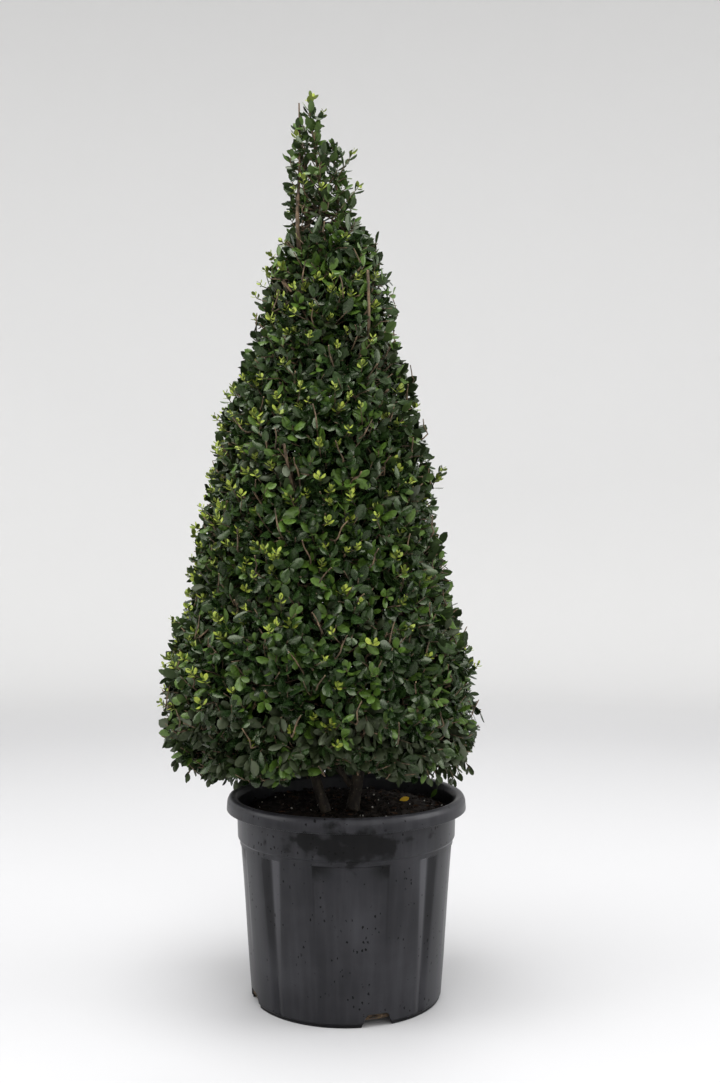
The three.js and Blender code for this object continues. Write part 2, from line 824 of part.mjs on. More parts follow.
// Open tip at the end of an upright stem: a thin stem with short twigs up it and leaves at its end.
function tipMass(tip, space, deal) {
  const bend = tip.foot.clone().addScaledVector(tip.along, TIP_STRAIGHT);
  const stem = new Limb(smooth([tip.foot, bend, tip.top], TIP_STEM_STEPS), TIP_STEM);
  const pieces = [solid(stem.geometry())];
  const first = deal() * Math.PI;
  for (let k = 0; k < TIP_TWIGS; k += 1) {
    const share = (k + TIP_FIRST) / TIP_TWIGS;
    const root = stem.at(share).centre;
    const heading = first + k * GOLDEN_TURN;
    const grow = new THREE.Vector3(Math.cos(heading), Math.sin(heading), TIP_TWIG_LIFT).normalize();
    const end = root.clone().addScaledVector(grow, mix(...TIP_TWIG_LENGTH, share));
    if (space.holds(end, TIP_TWIG.radius + SPACE_MARGIN)) {
      pieces.push(bestSpray([root, end], TIP_TWIG, TIP_LEAF_SCALE, space, deal));
    }
  }
  const shoot = [stem.at(1).centre, tip.top.clone().addScaledVector(stem.at(1).along, TIP_SHOOT)];
  pieces.push(bestSpray(shoot, TIP_TWIG, TIP_LEAF_SCALE, space, deal));
  return pieces;
}

// Whether each edge of the faces runs once each way after near corners are welded on a grid.
function isClosed(geometry, fineness, shift) {
  const place = geometry.getAttribute('position').array;
  const cell = (value) => Math.round(value * fineness + shift);
  const corner = (i) => `${cell(place[3 * i])},${cell(place[3 * i + 1])},${cell(place[3 * i + 2])}`;
  const edges = new Map();
  for (let i = 0; i < place.length / 3; i += 3) {
    const face = [corner(i), corner(i + 1), corner(i + 2)];
    if (new Set(face).size === 3) {
      face.forEach((from, k) => {
        const edge = `${from} ${face[(k + 1) % 3]}`;
        edges.set(edge, (edges.get(edge) ?? 0) + 1);
      });
    }
  }
  return [...edges].every(([edge, uses]) => {
    const [from, to] = edge.split(' ');
    return uses === 1 && edges.get(`${to} ${from}`) === 1;
  });
}

function isSound(geometry) {
  return WELD_GRIDS.every(([fineness, shift]) => isClosed(geometry, fineness, shift));
}

// Pieces joined into one body. Where the join isn't sound, the one piece that spoils it is left out.
function fused(pieces) {
  let geometry;
  for (let left = pieces.length; left > 0; left -= 1) {
    const kept = pieces.filter((_, index) => index !== left);
    geometry = geometryOf(largestBody(wasm.Manifold.union(kept)));
    if (isSound(geometry)) {
      break;
    }
  }
  return geometry;
}

// Whole plant.
const plant = new THREE.Group();
plant.name = 'potted_holly_cone';

function addPart(name, geometry, colour) {
  const material = new THREE.MeshStandardMaterial({ color: colour, ...FINISH });
  const mesh = new THREE.Mesh(geometry, material);
  mesh.name = name;
  plant.add(mesh);
}

addPart('pot', pot(), COLOURS.pot);
addPart('soil', soil(), COLOURS.soil);
addPart('trunk', trunk.geometry(), COLOURS.bark);
addPart('second_stem', secondStem.geometry(), COLOURS.bark);
addPart('left_leader', leftLeader.geometry(), COLOURS.bark);

const twigs = Array.from({ length: TWIG_COUNT }, (_, index) => surfaceTwig(index));

TIERS.forEach((tier, tierIndex) => {
  for (let sector = 0; sector < tier.sectors; sector += 1) {
    const space = new Space(tierIndex, sector);
    const entryRadius = tier.hollow - BOUGH_REACH;
    const entry = crownPoint(space.heading, entryRadius, tier.entry);
    const middle = (tier.hollow + outlineRadius(tier.foot)) / 2;
    const goalHeight = (Math.max(space.floor(middle), tier.core) + space.ceiling(middle)) / 2;
    const goal = crownPoint(space.heading, middle, goalHeight);
    let start;
    let along;
    if (tier.bough) {
      const bough = boughTo(entry, tier.bough);
      addPart(`bough_${tier.name}_${sector + 1}`, bough.geometry(), COLOURS.bark);
      along = bough.at(1).along;
      start = entry.addScaledVector(along, GAP);
    } else {
      start = startOnSide(nearestUpright(goal, tier.entry), tier.entry, goal, MASS_STEM.radius);
      along = goal.clone().sub(start).normalize();
    }
    const stem = massStem(start, along, goal);
    const pieces = [
      solid(stem.geometry()),
      core(space, tier, dealer(CORE_SEED + TIER_SEEDS * tierIndex + sector)),
    ];
    for (const twig of twigs) {
      if (tierOf(twig) === tierIndex && space.offset(twig.heading) <= space.half) {
        pieces.push(growTwig(settle(twig, space), stem, space));
      }
    }
    addPart(`foliage_${tier.name}_${sector + 1}`, fused(pieces), COLOURS.foliage);
  }
});

const tips = [
  { name: 'right', leader: trunk },
  { name: 'left', leader: secondStem },
  { name: 'middle', leader: leftLeader },
].map(({ name, leader }) => {
  const { centre, along } = leader.at(1);
  const top = new THREE.Vector3(...TIP_ENDS[name]);
  top.z -= TIP_END_DEPTH;
  return { name, along, top, foot: centre.addScaledVector(along, GAP) };
});

tips.forEach((tip, index) => {
  const space = new TipSpace(tip, tips.filter((other) => other !== tip));
  const pieces = tipMass(tip, space, dealer(TIP_SEED + index));
  addPart(`foliage_tip_${tip.name}`, fused(pieces), COLOURS.foliage);
});

export default plant;
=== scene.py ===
# %% [markdown]
# A potted Japanese holly, clipped to a slim cone with an open tip, in a black nursery pot.
# The solid model gives every place and size. This lesson dresses it: the pot gets a smooth shell,
# the limbs get bark, and each block of foliage becomes real twigs with small leaves.
# %% Load the solid model
import math
from collections import namedtuple

import bmesh
import bpy
import numpy as np
from mathutils import Matrix, Vector, noise


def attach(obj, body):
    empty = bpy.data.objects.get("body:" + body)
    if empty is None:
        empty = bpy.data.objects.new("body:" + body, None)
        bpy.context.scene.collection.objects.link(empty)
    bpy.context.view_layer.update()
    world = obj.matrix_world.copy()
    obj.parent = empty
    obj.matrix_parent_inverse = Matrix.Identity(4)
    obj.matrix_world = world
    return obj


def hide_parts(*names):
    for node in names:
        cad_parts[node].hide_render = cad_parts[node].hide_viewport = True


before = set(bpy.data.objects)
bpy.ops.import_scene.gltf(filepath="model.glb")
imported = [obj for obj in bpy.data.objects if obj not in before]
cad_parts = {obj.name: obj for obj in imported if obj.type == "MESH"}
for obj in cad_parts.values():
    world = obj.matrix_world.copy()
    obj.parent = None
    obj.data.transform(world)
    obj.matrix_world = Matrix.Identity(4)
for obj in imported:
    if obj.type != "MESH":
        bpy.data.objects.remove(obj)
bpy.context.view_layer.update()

MM = 0.001
UP = np.array((0.0, 0.0, 1.0))
FULL_TURN = 2 * math.pi
GOLDEN_TURN = math.pi * (3 - math.sqrt(5))


# %% [markdown]
# The camera comes first, so that every later look is from the photographed side. A long lens on a
# level tripod keeps the stems upright. It stands at half the plant's height, a little right of it.
# %% Camera
CAMERA_PLACE = (0.0154, -1.381, 0.51)
CAMERA_LENS = 40.5
CAMERA_SENSOR = 36
scene = bpy.context.scene


def linked(name, data):
    """A new object in the scene."""
    made = bpy.data.objects.new(name, data)
    scene.collection.objects.link(made)
    return made


camera_data = bpy.data.cameras.new("camera")
camera_data.lens = CAMERA_LENS
camera_data.sensor_width = CAMERA_SENSOR
camera = linked("camera", camera_data)
camera.location = CAMERA_PLACE
camera.rotation_euler = (math.pi / 2, 0, 0)
scene.camera = camera
print("camera at", CAMERA_PLACE, "with a", CAMERA_LENS, "mm lens")

# %% [markdown]
# A finish is a tree of nodes, and its maths is easier to read as Python. This class holds one
# socket. Arithmetic on it adds Math nodes, and its node method adds any other node.
# %% Shader maths
FACTOR, COLOUR_A, COLOUR_B, MIXED = 0, 6, 7, 2


class Shade:
    """One socket in a finish's tree of nodes."""

    def __init__(self, tree, socket=None):
        self.tree = tree
        self.socket = socket

    def node(self, kind, settings=None, sockets=None, output=0):
        made = self.tree.nodes.new(kind)
        for name, value in (settings or {}).items():
            setattr(made, name, value)
        for name, value in (sockets or {}).items():
            if isinstance(value, Shade):
                self.tree.links.new(value.socket, made.inputs[name])
            else:
                made.inputs[name].default_value = value
        return Shade(self.tree, made.outputs[output])

    def maths(self, operation, *values):
        return self.node("ShaderNodeMath", {"operation": operation}, dict(enumerate(values)))

    def __add__(self, other):
        return self.maths("ADD", self, other)

    def __sub__(self, other):
        return self.maths("SUBTRACT", self, other)

    def __rsub__(self, other):
        return self.maths("SUBTRACT", other, self)

    def __mul__(self, other):
        return self.maths("MULTIPLY", self, other)

    __radd__ = __add__
    __rmul__ = __mul__

    def step(self, low, high):
        """A smooth change from 0 at low to 1 at high, or the other way round."""
        sockets = {"Value": self, "From Min": low, "From Max": high}
        return self.node("ShaderNodeMapRange", {"interpolation_type": "SMOOTHSTEP"}, sockets)


def largest(*shades):
    most = shades[0]
    for shade in shades[1:]:
        most = most.maths("MAXIMUM", most, shade)
    return most


def blend(share, first, second):
    """Colour between two colours."""
    sockets = {FACTOR: share, COLOUR_A: first, COLOUR_B: second}
    return share.node("ShaderNodeMix", {"data_type": "RGBA"}, sockets, MIXED)


def grain(place, scale, detail=2.0):
    """Cloudy noise, about 0.5 on average."""
    return place.node("ShaderNodeTexNoise", None, {"Vector": place, "Scale": scale, "Detail": detail})


def stretched(place, scale):
    """Coordinates stretched along the axes."""
    return place.node("ShaderNodeMapping", None, {"Vector": place, "Scale": scale})


class Finish:
    """A material with one Principled shader, whose colours are red, green and blue from 0 to 1."""

    def __init__(self, name, **constants):
        self.material = bpy.data.materials.new(name)
        self.material.use_nodes = True
        self.tree = self.material.node_tree
        self.shader = self.tree.nodes["Principled BSDF"]
        self.place = Shade(self.tree).node("ShaderNodeTexCoord", output="Object")
        for socket, value in constants.items():
            self.shader.inputs[socket.replace("_", " ")].default_value = value

    def feed(self, socket, value):
        self.tree.links.new(value.socket, self.shader.inputs[socket])

    def bump(self, height, strength, distance):
        sockets = {"Height": height, "Strength": strength, "Distance": distance}
        self.feed("Normal", height.node("ShaderNodeBump", None, sockets))


def rgb(red, green, blue):
    return (red, green, blue, 1.0)


print("shader helpers ready")

# %% [markdown]
# The pot stands on a white sweep: a floor that curves up into a wall all round, so that no corner shows
# from any side. The paper is painted a little greyer near the pot, where most of the light falls: a
# painted shade that evens out the brighter light there.
# %% Studio
FLOOR_RADIUS = 2.6
SWEEP_RADIUS = 1.0
WALL_TOP = 3.2
SWEEP_STEPS = 12
ROUND_STEPS = 96
WELD = MM / 100
PAPER_FADE = (1.8, 3.4)
PAPER_NEAR_PAINTED_SHADE = rgb(0.58, 0.58, 0.59)
PAPER_FAR = rgb(0.79, 0.79, 0.79)


def spun(profile, steps):
    """A bmesh of a profile of radius and height, spun once round the Z axis."""
    made = bmesh.new()
    corners = [made.verts.new((radius, 0, height)) for radius, height in profile]
    edges = [made.edges.new(pair) for pair in zip(corners, corners[1:])]
    bmesh.ops.spin(
        made, geom=corners + edges, cent=(0, 0, 0), axis=(0, 0, 1), angle=FULL_TURN,
        steps=steps, use_merge=True,
    )
    bmesh.ops.remove_doubles(made, verts=made.verts, dist=WELD)
    bmesh.ops.recalc_face_normals(made, faces=made.faces)
    return made


def piece_from(made, name, *finishes):
    """A smooth object at the origin from a bmesh."""
    mesh = bpy.data.meshes.new(name)
    made.to_mesh(mesh)
    made.free()
    for finish in finishes:
        mesh.materials.append(finish.material)
    mesh.shade_smooth()
    return linked(name, mesh)


sweep_profile = [(0, 0)]
for step in range(SWEEP_STEPS + 1):
    angle = step / SWEEP_STEPS * math.pi / 2
    arc = FLOOR_RADIUS + SWEEP_RADIUS * math.sin(angle), SWEEP_RADIUS * (1 - math.cos(angle))
    sweep_profile.append(arc)
sweep_made = spun([*sweep_profile, (FLOOR_RADIUS + SWEEP_RADIUS, WALL_TOP)], ROUND_STEPS)
bmesh.ops.reverse_faces(sweep_made, faces=sweep_made.faces)
paper = Finish("white_paper", Roughness=0.7)
reach = paper.place.node("ShaderNodeVectorMath", {"operation": "LENGTH"}, {0: paper.place}, "Value")
# Painted shade: the paper near the pot is greyer, evening out the brighter light that falls there.
paper.feed("Base Color", blend(reach.step(*PAPER_FADE), PAPER_NEAR_PAINTED_SHADE, PAPER_FAR))
studio_floor = piece_from(sweep_made, "studio_floor", paper)
print("sweep:", len(studio_floor.data.polygons), "faces")

# %% [markdown]
# Light comes mostly from above, as in a photographer's tent. Large square lamps make soft shadows,
# and two at the sides draw bright lines down the pot. None of the lamps is seen itself.
# %% Lights
PLANT_MIDDLE = Vector((0, 0, 0.5))
# Each lamp's place and width in metres, and its power in watts.
LAMPS = {
    "overhead_lamp": ((-0.3, -0.5, 2.6), 1.6, 54),
    "front_lamp": ((1.0, -2.2, 1.3), 1.6, 10),
    "left_lamp": ((-2.0, -0.4, 1.5), 1.4, 22),
    "right_lamp": ((2.0, -0.2, 1.3), 1.4, 25),
    "back_lamp": ((0.3, 2.3, 2.3), 1.4, 14),
}
SKY_COLOUR = rgb(1.0, 0.99, 0.97)
SKY_STRENGTH = 0.54

for name, (place, size, power) in LAMPS.items():
    data = bpy.data.lights.new(name, "AREA")
    data.size = size
    data.energy = power
    lamp = linked(name, data)
    lamp.location = place
    lamp.rotation_euler = (PLANT_MIDDLE - Vector(place)).to_track_quat("-Z", "Y").to_euler()
    lamp.visible_camera = False

scene.world = bpy.data.worlds.new("open_sky")
scene.world.use_nodes = True
sky = scene.world.node_tree.nodes["Background"].inputs
sky["Color"].default_value = SKY_COLOUR
sky["Strength"].default_value = SKY_STRENGTH
scene.view_settings.view_transform = "Standard"
print("lamps:", len(LAMPS))

# %% [markdown]
# The pot is thin moulded plastic. A turned profile gives its foot, wall, collar and rolled rim, so
# it is spun from a polyline whose corners are rounded by small arcs. Sizes are in millimetres.
# %% Pot profile
POT_STEPS = 240
POT_HEIGHT = 226
RIM_RADIUS = 135
COLLAR_RADIUS = 123.4
COLLAR_FOOT = 179.5
COLLAR_HEIGHT = 33.5
COLLAR_DRAFT = 1
COLLAR_CHAMFER = 2
BODY_TOP_RADIUS = 120
BODY_FOOT_RADIUS = 106.8
WALL = 2.6
FLOOR_UNDERSIDE = 6
FLOOR_TOP = 9
FOOT_INSET = 1.4
FOOT_HEIGHT = 3
PAD_RADIUS = 16
PAD_DRAFT = 1
PATTERN_END = 7
WALL_ROWS = 22
WALL_LIP = 0.8
RIM_SECTION = (
    (8.6, 5), (4.4, 7), (2.6, 16), (0, 16), (0.8, 6), (2.8, 1.6), (6, 0), (10.6, 1.6), (13.6, 7),
)
ARC_STEPS = 4
ARC_SHARE = 0.4
CORNER_RADIUS = 0.8


def mix(low, high, share):
    return low + (high - low) * share


def rounded(profile, radius):
    """The profile with each inner corner turned into a small arc."""
    places = [Vector(place) for place in profile]
    result = [places[0]]
    for before, corner, after in zip(places, places[1:], places[2:]):
        room = min((before - corner).length, (after - corner).length)
        reach = min(radius, room * ARC_SHARE)
        first = corner + (before - corner).normalized() * reach
        last = corner + (after - corner).normalized() * reach
        for step in range(ARC_STEPS + 1):
            share = step / ARC_STEPS
            result.append(first.lerp(corner, share).lerp(corner.lerp(last, share), share))
    return [*result, places[-1]]


def pot_inner_radius(height):
    share = (height - FLOOR_TOP) / (COLLAR_FOOT - FLOOR_TOP)
    return mix(BODY_FOOT_RADIUS, BODY_TOP_RADIUS, share) - WALL


foot_radius = BODY_FOOT_RADIUS - FOOT_INSET
wall_foot = FOOT_HEIGHT + FOOT_INSET
wall_top = COLLAR_FOOT - PATTERN_END
lower_profile = rounded([
    (0, 0),
    (PAD_RADIUS, 0),
    (PAD_RADIUS + PAD_DRAFT, FLOOR_UNDERSIDE),
    (foot_radius - WALL, FLOOR_UNDERSIDE),
    (foot_radius - WALL, 0),
    (foot_radius, 0),
    (foot_radius, FOOT_HEIGHT),
    (BODY_FOOT_RADIUS, wall_foot),
], CORNER_RADIUS)
wall_profile = [
    (mix(BODY_FOOT_RADIUS, BODY_TOP_RADIUS, share), mix(wall_foot, wall_top, share))
    for share in np.arange(1, WALL_ROWS) / WALL_ROWS
]
upper_profile = rounded([
    (BODY_TOP_RADIUS, wall_top),
    (BODY_TOP_RADIUS, COLLAR_FOOT - COLLAR_CHAMFER),
    (COLLAR_RADIUS - COLLAR_DRAFT, COLLAR_FOOT),
    (COLLAR_RADIUS, COLLAR_FOOT + COLLAR_HEIGHT),
    *[(RIM_RADIUS - inset, POT_HEIGHT - drop) for inset, drop in RIM_SECTION],
    (pot_inner_radius(COLLAR_FOOT), COLLAR_FOOT),
    (pot_inner_radius(FLOOR_TOP), FLOOR_TOP),
    (0, FLOOR_TOP),
], 2 * CORNER_RADIUS)
pot_profile = [*lower_profile, *wall_profile, (BODY_TOP_RADIUS, wall_top - WALL_LIP), *upper_profile]
print("pot profile:", len(pot_profile), "places")

# %% [markdown]
# Shallow panels and narrow flutes stiffen the thin wall, four of each. They are pressed in by moving
# the spun wall's vertices towards the axis, which keeps the mesh in even rows.
# %% Pot wall pattern
PATTERN_REPEATS = 4
PATTERN_SLACK = 0.1
PANEL_HEADING = math.radians(3)
PANEL_HALF_WIDTH = math.radians(20)
PANEL_DEPTH = 1.1
PANEL_FADE = (30, 140)
FLUTE_HEADING = math.radians(48)
FLUTE_HALF_WIDTH = math.radians(7.5)
FLUTE_DEPTH = 2.3
FLUTE_FOOT_SHARE = 0.45


def smooth_step(low, high, value):
    share = min(1, max(0, (value - low) / (high - low)))
    return share * share * (3 - 2 * share)


def pattern_depth(heading, height):
    """How deep the wall is pressed in at a heading from the front."""
    period = FULL_TURN / PATTERN_REPEATS

    def away(centre):
        offset = (heading - centre) / period
        return abs(offset - round(offset)) * period

    if away(PANEL_HEADING) < PANEL_HALF_WIDTH:
        return PANEL_DEPTH * smooth_step(*PANEL_FADE, height)
    half = FLUTE_HALF_WIDTH * mix(FLUTE_FOOT_SHARE, 1, (height - wall_foot) / (wall_top - wall_foot))
    return FLUTE_DEPTH * max(0, 1 - away(FLUTE_HEADING) / half)


pot_made = spun([(radius * MM, height * MM) for radius, height in pot_profile], POT_STEPS)
outer_wall = (foot_radius + BODY_FOOT_RADIUS) / 2
for vertex in pot_made.verts:
    radius = math.hypot(vertex.co.x, vertex.co.y) / MM
    height = vertex.co.z / MM
    if wall_foot - PATTERN_SLACK < height < wall_top - WALL_LIP / 2 and radius > outer_wall:
        depth = pattern_depth(math.atan2(vertex.co.x, -vertex.co.y), height)
        vertex.co.xy *= (radius - depth) / radius
print("pot wall:", len(pot_made.verts), "vertices")

# %% [markdown]
# Old black plastic is never plain. This pot is hazy with dust, spotted with dried drops and stained by a
# splash on the collar. The top of its rim is paler, partly from dust and partly from a painted sheen.
# Each flute has a painted highlight on one half and painted shade on the other, a thin band of painted
# shade runs round the foot, and the panels are darker in their top corners and along their edges. Each
# mark is a value from 0 to 1 in the finish. The gloss is a coat that the stains, drops, darker panel
# marks and painted shade take away. Heights are in metres.
# %% Black plastic
SPLASH_MIDDLE = 0.198
SPLASH_REACH = (0.047, 0.014)
FLUTE_RISE = (1 - FLUTE_FOOT_SHARE) / (wall_top * MM)


def black_plastic():
    """Dusty black plastic with splashes, stains and fine moulding marks, plus a painted sheen on the
    rim, painted highlights on the flutes and painted shade on the flutes and foot.
    """
    finish = Finish("black_plastic", Specular_IOR_Level=0.05, Coat_Roughness=0.3)
    place, maths = finish.place, finish.place.maths
    x, y, z = (place.node("ShaderNodeSeparateXYZ", None, {"Vector": place}, axis) for axis in range(3))
    heading = maths("ARCTAN2", x, 0 - y)
    quarter = math.pi / PATTERN_REPEATS

    def offset(centre):
        """Angle from the nearest of four marks round the pot."""
        return maths("WRAP", heading - centre, quarter, -quarter)

    wall_end = z.step((wall_top + 1) * MM, wall_top * MM)
    flute_width = (z * FLUTE_RISE + FLUTE_FOOT_SHARE) * FLUTE_HALF_WIDTH
    flute_side = maths("SIGN", 0 - x * y)
    flute = maths("DIVIDE", offset(FLUTE_HEADING) * flute_side, flute_width)
    # Each flute gets a painted highlight on one half and painted shade on the other half.
    painted_highlight_face = flute.step(0.1, -0.2) * flute.step(-1.0, -0.7) * z.step(0.03, 0.15) * wall_end
    painted_shade_face = flute.step(-0.05, 0.2) * flute.step(1.0, 0.9) * z.step(0.02, 0.13) * wall_end
    haze = grain(place, 14, 6).step(0.35, 0.75)
    streaks = grain(stretched(place, (90, 90, 5)), 1, 4).step(0.35, 0.8)
    fine = grain(place, 700)
    cells = {"Vector": stretched(place, (1, 1, 0.7)), "Scale": 170}
    drops = place.node("ShaderNodeTexVoronoi", None, cells, "Distance")
    drops = (drops + grain(place, 420, 3) * 0.6 + grain(place, 60) * 0.4).step(0.69, 0.60)
    spots = drops * grain(place, 30).step(0.42, 0.52)
    ragged = grain(place, 55, 5) - 0.5
    wide = maths("ABSOLUTE", x) * (1 / SPLASH_REACH[0])
    high = maths("ABSOLUTE", z - SPLASH_MIDDLE) * (1 / SPLASH_REACH[1])
    splash = (wide * 0.6 + high * 0.6 + ragged * 3.4).step(1.1, 0.5) * y.step(-0.05, -0.09)
    # The panels are darker in their top corners just below the collar and along their edges.
    panel = maths("ABSOLUTE", offset(PANEL_HEADING)) * (1 / PANEL_HALF_WIDTH)
    within = panel.step(1.02, 0.98) * wall_end
    below_lip = (z + ragged * 0.03).step((wall_top - 21) * MM, (wall_top - 5) * MM)
    corners = below_lip * within * panel.step(0.3, 0.9)
    edges = within * panel.step(0.93, 0.97) * z.step(0.06, 0.15)
    # A band of painted shade over the inset foot.
    foot = z.step((wall_foot + 0.6) * MM, wall_foot * MM)
    # The splash stain, the darker panel marks and the painted shade of the flutes and foot, in one mask.
    stains_and_painted_shade = largest(splash, corners, edges * 0.3, painted_shade_face * 0.5, foot * 0.8)
    # Dust all over, and on the rim's top a paler band that is partly dust and partly a painted sheen.
    dust_and_rim_sheen = haze * 0.4 + streaks * 0.3 + z.step(0.214, 0.224) * 0.4
    dust_and_sheen_colour = blend(dust_and_rim_sheen, rgb(0.011, 0.011, 0.0135), rgb(0.052, 0.052, 0.059))
    # The painted highlight lightens one half of each flute.
    with_painted_flute_highlight = blend(painted_highlight_face * 0.3, dust_and_sheen_colour, rgb(0.13, 0.13, 0.145))
    # Stains and painted shade darken the colour.
    stained_and_painted_shade = blend(stains_and_painted_shade * 0.85, with_painted_flute_highlight, rgb(0.003, 0.003, 0.003))
    finish.feed("Base Color", blend(spots * 0.9, stained_and_painted_shade, rgb(0.002, 0.002, 0.002)))
    finish.feed("Coat Weight", (1 - largest(stains_and_painted_shade * 0.6, spots * 0.8)) * 0.36)
    finish.feed("Roughness", 0.28 + dust_and_rim_sheen * 0.24 + fine * 0.08)
    finish.bump(fine + streaks * 0.6, 0.12, 0.0004)
    return finish


pot_shell = piece_from(pot_made, "pot_shell", black_plastic())
print("pot shell:", len(pot_shell.data.polygons), "faces")

# %% [markdown]
# Water drains through four notches at the foot. One prism is made by extruding its outline through
# the wall and bevelling its top edges. Spun copies of it are taken away by a Boolean modifier.
# %% Drain notches
NOTCH_HEADING = math.radians(18.6)
NOTCH_FOOT_HALF = 17.5
NOTCH_TOP_HALF = 12
NOTCH_FOOT = -1
NOTCH_HEIGHT = 14
NOTCH_CORNER = 3
NOTCH_START = 90
NOTCH_LENGTH = 40
SHARP_ANGLE = math.radians(28)


def notch_prisms():
    """The four prisms that cut the drain notches."""
    made = bmesh.new()
    outline = (
        (-NOTCH_FOOT_HALF, NOTCH_FOOT), (NOTCH_FOOT_HALF, NOTCH_FOOT),
        (NOTCH_TOP_HALF, NOTCH_HEIGHT), (-NOTCH_TOP_HALF, NOTCH_HEIGHT),
    )
    near = made.faces.new([made.verts.new((x * MM, -NOTCH_START * MM, z * MM)) for x, z in outline])
    pushed = bmesh.ops.extrude_face_region(made, geom=[near])["geom"]
    far = [item for item in pushed if isinstance(item, bmesh.types.BMVert)]
    bmesh.ops.translate(made, verts=far, vec=(0, -NOTCH_LENGTH * MM, 0))
    along = [edge for edge in made.edges if edge.verts[0].co.y != edge.verts[1].co.y]
    bmesh.ops.bevel(
        made, geom=[edge for edge in along if edge.verts[0].co.z > 0], offset=NOTCH_CORNER * MM,
        offset_type="OFFSET", affect="EDGES", segments=ARC_STEPS, profile=0.5, material=-1,
    )
    bmesh.ops.transform(made, matrix=Matrix.Rotation(NOTCH_HEADING, 4, "Z"), verts=made.verts)
    bmesh.ops.spin(
        made, geom=[*made.verts, *made.edges, *made.faces], cent=(0, 0, 0), axis=(0, 0, 1),
        angle=FULL_TURN - FULL_TURN / PATTERN_REPEATS, steps=PATTERN_REPEATS - 1, use_duplicate=True,
    )
    bmesh.ops.recalc_face_normals(made, faces=made.faces)
    return made


def stands_for(piece, slot, *nodes):
    """Fixes a piece to the plant's one body, in place of some nodes of the solid model."""
    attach(piece, "root")
    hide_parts(*nodes)


cutter = piece_from(notch_prisms(), "notch_cutter")
cut = pot_shell.modifiers.new("notches", "BOOLEAN")
cut.operation = "DIFFERENCE"
cut.object = cutter
cut.solver = "EXACT"
graph = bpy.context.evaluated_depsgraph_get()
cut_mesh = bpy.data.meshes.new_from_object(pot_shell.evaluated_get(graph))
pot_shell.modifiers.clear()
pot_shell.data = cut_mesh
bpy.data.objects.remove(cutter)
cut_mesh.shade_smooth()
cut_mesh.set_sharp_from_angle(angle=SHARP_ANGLE)
stands_for(pot_shell, "pot_plastic", "pot")
print("pot shell with notches:", len(cut_mesh.polygons), "faces")

# %% [markdown]
# The soil is a turned block too, with a lumpy top. Its clods come from two sizes of noise that lift
# the top's vertices, so that the stems and the loose bits can ask for the height at any place.
# %% Soil
SOIL_TOP = 210
SOIL_FLAT_RADIUS = 62
SOIL_SHOULDER = 0.8
SOIL_SHOULDER_DROP = 1
SOIL_EDGE_DROP = 5
SOIL_CLEARANCE = 0.45
SOIL_FOOT = FLOOR_TOP + 0.3
SOIL_ROWS = 46
SOIL_STEPS = 150
CLOD_HEIGHT = 3.2
CLOD_SIZE = 11
CRUMB_HEIGHT = 1.4
CRUMB_SIZE = 3.5
CRUMB_SLICE = 7

rim_inset, rim_drop = RIM_SECTION[-1]
soil_edge = SOIL_TOP - SOIL_EDGE_DROP
collar_share = (soil_edge - COLLAR_FOOT) / (POT_HEIGHT - rim_drop - COLLAR_FOOT)
soil_edge_radius = mix(pot_inner_radius(COLLAR_FOOT), RIM_RADIUS - rim_inset, collar_share)
soil_line = (
    (0, SOIL_FLAT_RADIUS, mix(SOIL_FLAT_RADIUS, soil_edge_radius, SOIL_SHOULDER), soil_edge_radius),
    (SOIL_TOP, SOIL_TOP, SOIL_TOP - SOIL_SHOULDER_DROP, soil_edge),
)


def soil_height(x, y):
    """Height of the lumpy soil top at a place, in millimetres."""
    level = float(np.interp(math.hypot(x, y), *soil_line))
    clods = noise.noise(Vector((x, y, 0)) / CLOD_SIZE) * CLOD_HEIGHT
    crumbs = noise.noise(Vector((x, y, CRUMB_SLICE)) / CRUMB_SIZE) * CRUMB_HEIGHT
    return level + clods + crumbs - CRUMB_HEIGHT


def potting_soil():
    """Dark damp soil with brown fibres."""
    finish = Finish("potting_soil", Specular_IOR_Level=0.25)
    clods = grain(finish.place, 160, 6).step(0.35, 0.7)
    fibres = grain(stretched(finish.place, (300, 90, 200)), 1, 3).step(0.6, 0.75)
    damp = blend(clods, rgb(0.006, 0.004, 0.003), rgb(0.024, 0.016, 0.011))
    finish.feed("Base Color", blend(fibres * 0.4, damp, rgb(0.07, 0.042, 0.024)))
    finish.feed("Roughness", 0.95 - clods * 0.15)
    finish.bump(grain(finish.place, 420, 5), 0.7, 0.0012)
    return finish


soil_profile = [
    (0, SOIL_FOOT),
    (pot_inner_radius(FLOOR_TOP) - SOIL_CLEARANCE, SOIL_FOOT),
    (pot_inner_radius(COLLAR_FOOT) - SOIL_CLEARANCE, COLLAR_FOOT),
]
for row in range(SOIL_ROWS, -1, -1):
    soil_profile.append(((soil_edge_radius - SOIL_CLEARANCE) * row / SOIL_ROWS, SOIL_TOP))
soil_made = spun([(radius * MM, height * MM) for radius, height in soil_profile], SOIL_STEPS)
for vertex in soil_made.verts:
    if vertex.co.z > soil_edge * MM:
        vertex.co.z = soil_height(vertex.co.x / MM, vertex.co.y / MM) * MM
earth = potting_soil()
soil_bed = piece_from(soil_made, "soil_bed", earth)
stands_for(soil_bed, "potting_soil", "soil")
print("soil bed:", len(soil_bed.data.polygons), "faces")

# %% [markdown]
# Thousands of leaves, twigs and crumbs can't be separate objects. Each kind is one mesh: a small
# shape's faces are written once, its copies' places are an array, and both go into the mesh at once.
# %% Joined copies


